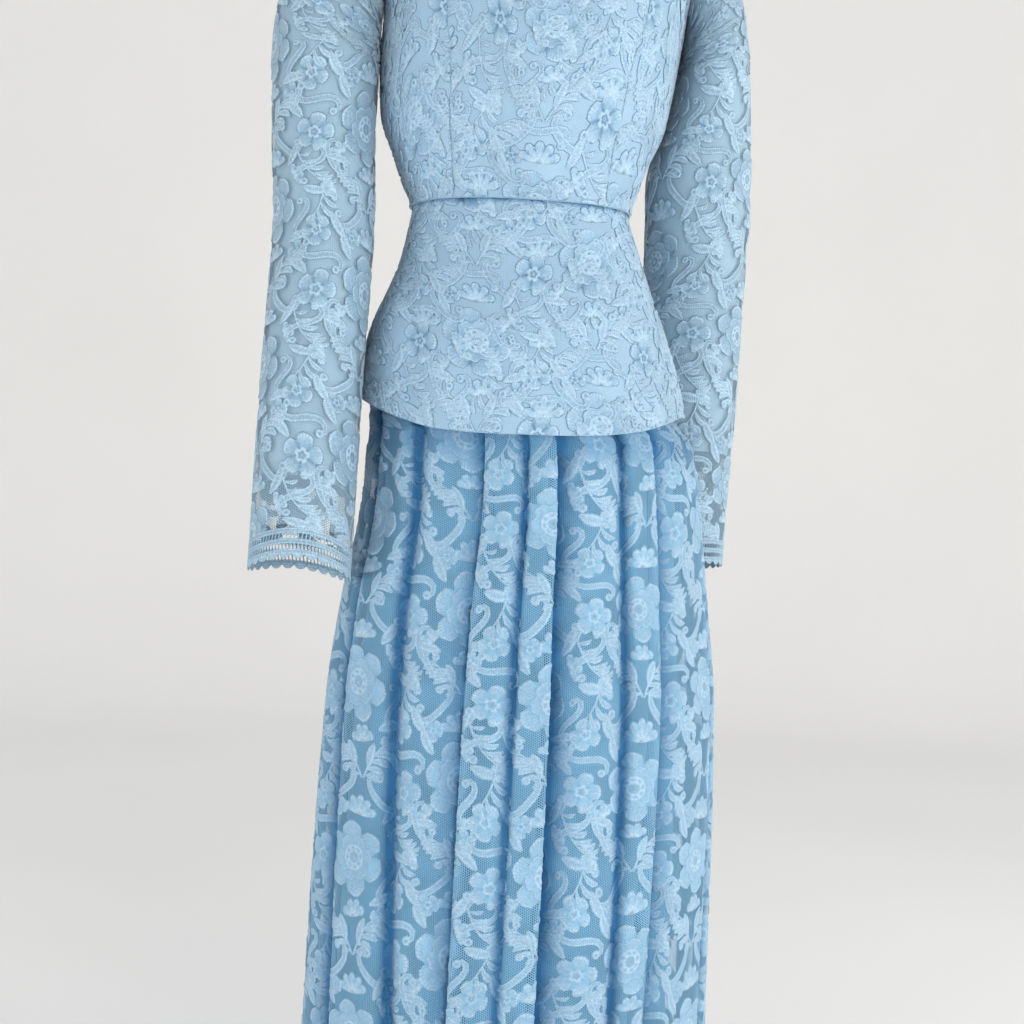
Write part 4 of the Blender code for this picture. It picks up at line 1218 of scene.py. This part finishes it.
def mapped(tree, value, from_min, from_max, to_min=0.0, to_max=1.0):
    """A value brought from one range into another."""
    limits = {"From Min": from_min, "From Max": from_max, "To Min": to_min, "To Max": to_max}
    return add(tree, "ShaderNodeMapRange", {}, {"Value": value, **limits}).outputs[0]


def phase(tree, degrees, speed):
    """How far along a direction on the cloth a point is, in radians."""
    uv = add(tree, "ShaderNodeUVMap", {"uv_map": "cloth"}, {}).outputs[0]
    turn = math.radians(degrees)
    way = (speed * math.cos(turn), speed * math.sin(turn), 0.0)
    dot = add(tree, "ShaderNodeVectorMath", {"operation": "DOT_PRODUCT"}, {0: uv, 1: way})
    return dot.outputs["Value"]


def new_material(name, roughness, sheen):
    """A cloth material, its node tree and its shader."""
    made = bpy.data.materials.new(name)
    made.use_nodes = True
    shader = made.node_tree.nodes["Principled BSDF"]
    shader.inputs["Roughness"].default_value = roughness
    shader.inputs["Sheen Weight"].default_value = sheen
    shader.inputs["Sheen Roughness"].default_value = 0.45
    shader.inputs["Specular IOR Level"].default_value = 0.35
    return made, made.node_tree, shader


def value_of(tree, name):
    """A value that the mesh has at its points."""
    return add(tree, "ShaderNodeAttribute", {"attribute_name": name}, {}).outputs["Fac"]


def with_painted_shade(tree, shader, colour):
    """The colour of a cloth with painted shade: deeper in its folds, under the peplum and at its
    tuck.
    """
    # Painted shade: the colour is darkened by the tint as far as the shade value at its points
    deep = mixed(tree, 1.0, colour, PAINTED_SHADE_TINT, "MULTIPLY")
    tree.links.new(mixed(tree, value_of(tree, "painted_shade"), colour, deep), shader.inputs["Base Color"])


def net_threads(tree, cell, low, high):
    """1 on the threads of a net of six-sided cells and 0 in its holes."""
    speed = 4 * math.pi / (math.sqrt(3) * cell)
    total = 0.0
    for degrees in (0, 120, 240):
        total = math_node(tree, "ADD", math_node(tree, "COSINE", phase(tree, degrees, speed)), total)
    return mapped(tree, total, high, low)


def ribs(tree, degrees, period):
    """Fine ribs across the cloth, from 0 to 1."""
    return mapped(tree, math_node(tree, "SINE", phase(tree, degrees, math.tau / period)), -1.0, 1.0)


def mottle(tree, scale, low, high):
    """Soft uneven values over the cloth, between low and high."""
    place = add(tree, "ShaderNodeTexCoord", {}, {}).outputs["Object"]
    noise = add(tree, "ShaderNodeTexNoise", {}, {"Vector": place, "Scale": scale, "Detail": 1.0})
    return mapped(tree, noise.outputs[0], 0.3, 0.7, low, high)


def mixed(tree, share, first, second, blend="MIX"):
    settings = {"data_type": "RGBA", "blend_type": blend}
    return add(tree, "ShaderNodeMix", settings, {0: share, 6: first, 7: second}).outputs[2]


def scaled(tree, colour, amount):
    """A colour made lighter or darker by a value about 1."""
    wide = add(tree, "ShaderNodeCombineColor", {}, {0: amount, 1: amount, 2: amount}).outputs[0]
    return mixed(tree, 1.0, colour, wide, "MULTIPLY")


def raised(tree, shader, height, distance):
    made = add(tree, "ShaderNodeBump", {}, {"Height": height, "Distance": distance})
    tree.links.new(made.outputs[0], shader.inputs["Normal"])


def thread_material(name, colours, below=None):
    """Lace threads: painted shadow at the foot of the cords, ribbed fill and pale cord, by the tone
    of the motif.

    Between the cords the cloth below, where its colour is given, shows through the fill's net.
    """
    made, tree, shader = new_material(name, roughness=0.72, sheen=0.30)
    tone = value_of(tree, "tone")
    ramp = add(tree, "ShaderNodeValToRGB", {}, {"Fac": tone})
    stops = ramp.color_ramp.elements
    # Its darkest stop is painted shadow at the foot of the raised cords
    stops[0].position, stops[0].color = 0.12, colours.outline
    stops[1].position, stops[1].color = 1.0, colours.cord
    stops.new(0.55).color = colours.fill
    turns = math_node(tree, "MULTIPLY", value_of(tree, "thread"), math.tau / THREAD_STEP)
    thread = math_node(tree, "MULTIPLY", math_node(tree, "SINE", turns), value_of(tree, "rib"))
    grain = math_node(tree, "ADD", math_node(tree, "MULTIPLY", thread, THREAD_CONTRAST), 1.0)
    soft = mottle(tree, scale=20.0, low=0.94, high=1.06)
    fuzz = math_node(tree, "MULTIPLY", soft, mottle(tree, scale=420.0, low=0.86, high=1.12))
    colour = scaled(tree, ramp.outputs[0], math_node(tree, "MULTIPLY", grain, fuzz))
    if below:
        open_fill = mapped(tree, tone, 0.90, 0.55, 0.0, FILL_OPENNESS)
        holes = net_threads(tree, FILL_CELL, low=0.5, high=-0.9)
        colour = mixed(tree, math_node(tree, "MULTIPLY", holes, open_fill), colour, below)
    with_painted_shade(tree, shader, colour)
    raised(tree, shader, thread, distance=0.00010)
    return made


def net_material(name, colour, cell):
    """Open net: threads only, its holes closed by painted shade in the folds, where it also lies
    doubled, and under the peplum.
    """
    made, tree, shader = new_material(name, roughness=0.70, sheen=0.10)
    threads = net_threads(tree, cell, low=-0.75, high=-0.15)
    # Painted shade closes the holes, so that the net's shaded colour shows there
    layers_and_shade = math_node(tree, "MULTIPLY", value_of(tree, "painted_shade"), LAYERS_AND_SHADE_COVER)
    with_painted_shade(tree, shader, scaled(tree, colour, mottle(tree, scale=18.0, low=0.93, high=1.07)))
    tree.links.new(math_node(tree, "MAXIMUM", threads, layers_and_shade), shader.inputs["Alpha"])
    return made


def ground_material(name, satin, thread, cell):
    """Net bonded on satin, under the raised lace of the top."""
    made, tree, shader = new_material(name, roughness=0.42, sheen=0.25)
    threads = net_threads(tree, cell, low=-0.9, high=0.3)
    colour = mixed(tree, threads, satin, thread)
    with_painted_shade(tree, shader, scaled(tree, colour, mottle(tree, scale=14.0, low=0.95, high=1.05)))
    raised(tree, shader, threads, distance=0.00020)
    return made


def satin_material(name, colour, roughness):
    made, tree, shader = new_material(name, roughness, sheen=0.08)
    twill = ribs(tree, degrees=62.0, period=0.0007)
    weave = math_node(tree, "MULTIPLY", twill, ribs(tree, degrees=0.0, period=0.0005))
    uneven = scaled(tree, colour, mottle(tree, scale=9.0, low=0.93, high=1.06))
    tree.links.new(uneven, shader.inputs["Base Color"])
    raised(tree, shader, weave, distance=0.00006)
    return made


def main():
    top_ground = ground_material("top_ground", GROUND_SATIN, GROUND_THREAD, TOP_CELL)
    top_threads = thread_material("top_lace", TOP_LACE)
    sleeve_net = net_material("sleeve_net", SLEEVE_NET, SLEEVE_CELL)
    sleeve_threads = thread_material("sleeve_lace", SLEEVE_LACE)
    light_lining = satin_material("light_lining", LIGHT_LINING, roughness=0.55)
    skirt_net = net_material("skirt_net", SKIRT_NET, SKIRT_CELL)
    skirt_threads = thread_material("skirt_lace", SKIRT_LACE, SKIRT_NET)
    satin = satin_material("satin", SATIN, roughness=0.38)

    make_bodice(top_ground, top_threads)
    make_peplum(top_ground, top_threads)
    make_sleeves(sleeve_net, sleeve_threads, light_lining)
    make_skirt(skirt_net, skirt_threads, satin)
    make_stage()
    make_lights()
    make_camera()


def sheet_piece(name, cloth, thickness, material, slot, lace=None, lace_cloth=None, **cut):
    """A sheet of cloth that stands for a solid, with the lace that is raised on it."""
    made = cloth_object(name + "_cloth", cloth, thickness, material)
    # Open net lets the light through, and its own shadow is too fine to see
    made.visible_shadow = thickness > 0
    made.visible_diffuse = thickness > 0
    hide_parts(name)
    if lace is not None:
        motif, threads, relief = lace
        lace_object(name + "_lace", lace_cloth or cloth, motif, threads, relief)


def widest(cloth):
    """Lowest and highest place across the cloth and its length, in millimetres."""
    low, high = cloth.across.min() / MILLIMETRE, cloth.across.max() / MILLIMETRE
    return low, high, cloth.down[-1] / MILLIMETRE


def shares(width, step):
    """Places from 0 to 1 over a width in metres, closer together at both ends for the seams."""
    inner = np.linspace(EDGE_REACH, width - EDGE_REACH, round(width / step))
    places = np.concatenate([[0], EDGE_PLACES, inner, (width - EDGE_PLACES)[::-1], [width]])
    return places / width


def top_lace(cloth, start):
    """The bonded lace of the top: the repeat, and more scrolls and feathers on its ground."""
    low, high, length = widest(cloth)
    between = (start[0] + FILLING_SHIFT[0], start[1] + FILLING_SHIFT[1])
    flowers = all_over(ONE_REPEAT, low, high, length, start)
    return joined([flowers, all_over(FILLING, low, high, length, between)])


def left_side(height):
    return 1 + 0 * height


def right_side(height):
    return -1 + 0 * height


def centre_back(height):
    return 0 * height


def right_princess(height):
    return -PRINCESS_ACROSS(height)


# Panels of the bodice: the node, where its left and right edges lie across the front or back,
# its rough width, where its lace starts in millimetres, its creases, and its cut
Panel = namedtuple("Panel", "node low high front width start creases flat area")
PANELS = [
    Panel("bodice_front_centre", right_princess, PRINCESS_ACROSS, True, 0.19,
          (-30, -60), FRONT_CREASES, (0.22, 0.36), 0.078),
    Panel("bodice_front_side_left", PRINCESS_ACROSS, left_side, True, 0.12,
          (-64, -20), SIDE_CREASES, (0.13, 0.36), 0.036),
    Panel("bodice_front_side_right", right_side, right_princess, True, 0.12,
          (-20, -110), SIDE_CREASES, (0.13, 0.36), 0.036),
    Panel("bodice_back_left", left_side, centre_back, False, 0.22,
          (-50, -40), BACK_CREASES, (0.22, 0.39), 0.075),
    Panel("bodice_back_right", centre_back, right_side, False, 0.22,
          (-10, -90), BACK_CREASES, (0.22, 0.39), 0.075),
]
# Lengths and steps of the top's sheets, metres
BODICE_LENGTH = 0.36
BODICE_ROW_STEP = 0.0060
PEPLUM_LENGTH = 0.23
PEPLUM_WIDTH = 0.40
PEPLUM_COLUMN_STEP = 0.0060
TOP_STEP = 0.0055


def make_bodice(ground, threads):
    rows = 1 - shares(BODICE_LENGTH, BODICE_ROW_STEP)
    for panel in PANELS:
        def surface(u, v):
            return bodice(mix(panel.low(v), panel.high(v), u), v, panel.front)

        cloth = lay(surface, shares(panel.width, TOP_STEP), rows, panel.creases)
        lace = (top_lace(cloth, panel.start), threads, TOP_RELIEF)
        sheet_piece(panel.node, cloth, BODICE_WALL, ground, "lace_on_satin", lace,
                    flat=panel.flat, area=panel.area, held="draped")


def make_peplum(ground, threads):
    rows = 1 - shares(PEPLUM_LENGTH, TOP_STEP)
    for name, start, motif_start, creases in (
        ("peplum_front", -90.0, (-96, -30), PEPLUM_CREASES),
        ("peplum_back", 90.0, (-40, -90), PEPLUM_CREASES[::-1]),
    ):
        columns = start + 180 * shares(PEPLUM_WIDTH, PEPLUM_COLUMN_STEP)
        # Painted shade where the peplum tucks behind the bodice's edge
        cloth = lay(peplum, columns, rows, creases, hem=True, shade=tuck_shade)
        lace = (top_lace(cloth, motif_start), threads, TOP_RELIEF)
        sheet_piece(name, cloth, PEPLUM_WALL, ground, "lace_on_satin", lace,
                    flat=(0.46, 0.24), area=0.085, held="draped")


def part_of(cloth, rows, columns=slice(None)):
    """Some rows and columns of a cloth, its length counted from the first of them."""
    grids = (cloth.points, cloth.normals, cloth.across, cloth.shade)
    points, normals, across, shade = (grid[rows][:, columns] for grid in grids)
    down = cloth.down[rows]
    return Cloth(points, normals, across, down - down[0], shade)


# Rows over the cap and down the arm, and columns round it
CAP_ROWS = 33
ARM_ROWS = 76
ARM_COLUMNS = 89


def make_sleeves(net, threads, lining):
    cap = np.linspace(0, CAP_SHARE, CAP_ROWS)
    rows = np.concatenate([cap, np.linspace(CAP_SHARE, 1, ARM_ROWS)[1:]])
    around = np.linspace(-180, 180, ARM_COLUMNS)
    for arm, start in zip(SLEEVES, ((-70, -50), (-20, -120))):
        def surface(u, v):
            return sleeve((-arm.side * u) % 360.0, v, arm)

        cloth = lay(surface, around, rows, SLEEVE_CREASES)
        low, high, length = widest(cloth)
        border = wrist_border(low, high, length)
        border_top = length - LADDER_BANDS[-1]
        body = ended(all_over(ONE_REPEAT, low, high, border_top, start), -border_top)
        net_rows = np.searchsorted(cloth.down, border_top * MILLIMETRE)
        net_cloth = part_of(cloth, slice(net_rows))
        lace = (joined([body, border]), threads, 1.0)
        sheet_piece(f"sleeve_{arm.name}", net_cloth, 0, net, "lace", lace, cloth,
                    flat=(0.40, 0.70), area=0.21, held="hung")

        share = (rows / rows[-1])[:, None, None]
        inset = LACE_WALL + mix(SLEEVE_LINING_GAP_TOP, SLEEVE_LINING_GAP_END, share)
        inner = cloth._replace(points=cloth.points - cloth.normals * inset)
        below = arm.sections[0].z - arm.lining_end_z
        end = mix(CAP_SHARE, 1.0, below / (arm.sections[0].z - arm.sections[-1].z))
        # It is seen only through the sleeve, so every second row and column is enough
        kept = np.flatnonzero((rows > SLEEVE_LINING_START / 2) & (rows < end))[::2]
        lining_cloth = part_of(inner, kept, slice(None, None, 2))
        sheet_piece(f"sleeve_lining_{arm.name}", lining_cloth, LINING_WALL / 2, lining,
                    "sleeve_lining", flat=(0.38, 0.60), area=0.17, held="hung")


# Steps round the skirt in degrees, and rows of its sheets
SKIRT_STEP = 2.5
FOLD_STEP = 0.8
FOLD_REACH = 4.0
SKIRT_TOP_ROWS = 16
SKIRT_ROWS = 66
SKIRT_ROWS_CHANGE_Z = -0.56
LINING_ROWS = 40
LINING_COLUMNS = 73
WAISTBAND_ROWS = 5
WAISTBAND_COLUMNS = 97


def skirt_columns(start):
    """Places round half the skirt, closer together at its folds."""
    even = np.arange(0, 180.1, SKIRT_STEP)
    across_fold = np.arange(-FOLD_REACH, FOLD_REACH + 0.1, FOLD_STEP)
    near = [(g.degrees - start) % 360 + across_fold for g in SKIRT_GROOVES]
    places = np.unique(np.round(np.concatenate([even] + near), 2))
    return start + places[(places >= 0) & (places <= 180)]


def make_skirt(net, threads, satin):
    top_z = SKIRT_SECTIONS[0].z
    top_rows = np.linspace(top_z, SKIRT_ROWS_CHANGE_Z, SKIRT_TOP_ROWS)
    low_rows = np.linspace(SKIRT_ROWS_CHANGE_Z, SKIRT_HEM_Z, SKIRT_ROWS)[1:]
    rows = np.concatenate([top_rows, low_rows])
    lining_rows = np.linspace(top_z, LINING_HEM_Z, LINING_ROWS)
    for name, start, motif_start in (("front", -90.0, (-34, -20)), ("back", 90.0, (-80, -70))):
        # The lace carries painted shade in its folds and under the peplum's hem
        cloth = lay(skirt_lace, skirt_columns(start), rows, seams=False, shade=skirt_shade)
        low, high, length = widest(cloth)
        motif = all_over(ONE_REPEAT, low, high, length, motif_start, top=SKIRT_LACE_TOP)
        lace = (motif, threads, 1.0)
        sheet_piece(f"skirt_lace_{name}", cloth, 0, net, "lace", lace,
                    flat=(0.66, 0.96), area=0.58, held="gathered")
        columns = np.linspace(start, start + 180, LINING_COLUMNS)
        cloth = lay(skirt_lining, columns, lining_rows, seams=False)
        sheet_piece(f"skirt_lining_{name}", cloth, LINING_WALL, satin, "satin_lining",
                    flat=(0.53, 0.93), area=0.39, held="hung")
    columns = np.linspace(-180, 180, WAISTBAND_COLUMNS)
    rows = np.linspace(WAISTBAND_TOP_Z, WAISTBAND_BOTTOM_Z, WAISTBAND_ROWS)
    cloth = lay(waistband, columns, rows, seams=False)
    sheet_piece("skirt_waistband", cloth, WAISTBAND_WALL, satin, "satin_lining",
                flat=(0.60, 0.026), held="stretched")


# Stage, lights and camera

FLOOR_Z = -1.372
FLOOR_RADIUS = 3.4
ROOM_CORNER = 1.1
ROOM_TOP = 2.9
FLOOR_RINGS = (0.001, 1.0, 2.2)
CORNER_POINTS = 13
ROOM_POINTS = 73
BACKDROP = (0.91, 0.90, 0.88, 1.0)
SKY = (0.95, 0.97, 1.0, 1.0)
SKY_STRENGTH = 0.72
Light = namedtuple("Light", "name place aim size power colour")
LIGHTS = [
    Light("key", (0.9, -2.9, -0.95), (0.0, 0.0, -0.95), 1.2, 43.0, (1.0, 0.98, 0.96)),
    Light("left", (-2.2, -1.4, -1.25), (-0.1, 0.0, -1.20), 1.4, 38.0, (0.99, 0.99, 1.0)),
    Light("right", (2.3, -1.0, -0.25), (0.2, 0.05, -0.40), 1.4, 31.0, (1.0, 0.99, 0.97)),
]

# The camera stands level, a little to the wearer's right, and leans with the picture
CAMERA_AZIMUTH = math.radians(-8.0)
CAMERA_ROLL = math.radians(1.85)
CAMERA_DISTANCE = 1.6
CAMERA_HEIGHT = -0.699
FOCAL_PIXELS = 1600.0
IMAGE_PIXELS = 1024.0
MIDDLE_PIXEL = 519.5
SENSOR = 36.0


def make_stage():
    """A round pale floor whose rim curves up into a wall, so that every view has a plain ground."""
    material = bpy.data.materials.new("backdrop")
    material.use_nodes = True
    tree = material.node_tree
    shader = tree.nodes["Principled BSDF"]
    shader.inputs["Roughness"].default_value = 0.9
    uneven = scaled(tree, BACKDROP, mottle(tree, scale=1.5, low=0.99, high=1.01))
    tree.links.new(uneven, shader.inputs["Base Color"])
    bend = np.linspace(0, math.pi / 2, CORNER_POINTS)
    curved = FLOOR_RADIUS + ROOM_CORNER * np.sin(bend)
    reach = np.concatenate([FLOOR_RINGS, curved, [FLOOR_RADIUS + ROOM_CORNER]])
    flat = np.zeros(len(FLOOR_RINGS))
    rise = np.concatenate([flat, ROOM_CORNER * (1 - np.cos(bend)), [ROOM_TOP]])
    turn = np.linspace(0, math.tau, ROOM_POINTS)
    x = reach[:, None] * np.cos(turn)[None, :]
    y = reach[:, None] * np.sin(turn)[None, :]
    z = FLOOR_Z + rise[:, None] + 0 * x
    points = np.stack([x, y, z], axis=-1).reshape(-1, 3)
    mesh = bpy.data.meshes.new("room")
    mesh.from_pydata(points.tolist(), [], quads(len(reach), len(turn)).tolist())
    mesh.shade_smooth()
    mesh.materials.append(material)
    room = bpy.data.objects.new("room", mesh)
    bpy.context.collection.objects.link(room)


def make_lights():
    world = bpy.data.worlds.new("studio")
    world.use_nodes = True
    background = world.node_tree.nodes["Background"]
    background.inputs["Color"].default_value = SKY
    background.inputs["Strength"].default_value = SKY_STRENGTH
    bpy.context.scene.world = world
    for light in LIGHTS:
        data = bpy.data.lights.new(light.name, "AREA")
        data.shape = "DISK"
        data.size = light.size
        data.energy = light.power
        data.color = light.colour
        made = bpy.data.objects.new(light.name, data)
        made.location = light.place
        away = Vector(light.place) - Vector(light.aim)
        made.rotation_euler = away.to_track_quat("Z", "Y").to_euler()
        bpy.context.collection.objects.link(made)


def make_camera():
    ahead = Vector((-math.sin(CAMERA_AZIMUTH), math.cos(CAMERA_AZIMUTH), 0.0))
    level = Vector((math.cos(CAMERA_AZIMUTH), math.sin(CAMERA_AZIMUTH), 0.0))
    c, s = math.cos(CAMERA_ROLL), math.sin(CAMERA_ROLL)
    right = level * c + Vector((0, 0, s))
    up = level * -s + Vector((0, 0, c))
    data = bpy.data.cameras.new("camera")
    data.sensor_width = SENSOR
    data.lens = FOCAL_PIXELS / IMAGE_PIXELS * SENSOR
    data.shift_x = -(MIDDLE_PIXEL - IMAGE_PIXELS / 2) / IMAGE_PIXELS
    data.clip_start = 0.05
    data.clip_end = 50.0
    camera = bpy.data.objects.new("camera", data)
    turned_to = Matrix((right, up, -ahead)).transposed()
    place = Vector((0, 0, CAMERA_HEIGHT)) - ahead * CAMERA_DISTANCE
    camera.matrix_world = Matrix.Translation(place) @ turned_to.to_4x4()
    bpy.context.collection.objects.link(camera)
    bpy.context.scene.camera = camera
    bpy.context.scene.view_settings.view_transform = "Standard"


main()
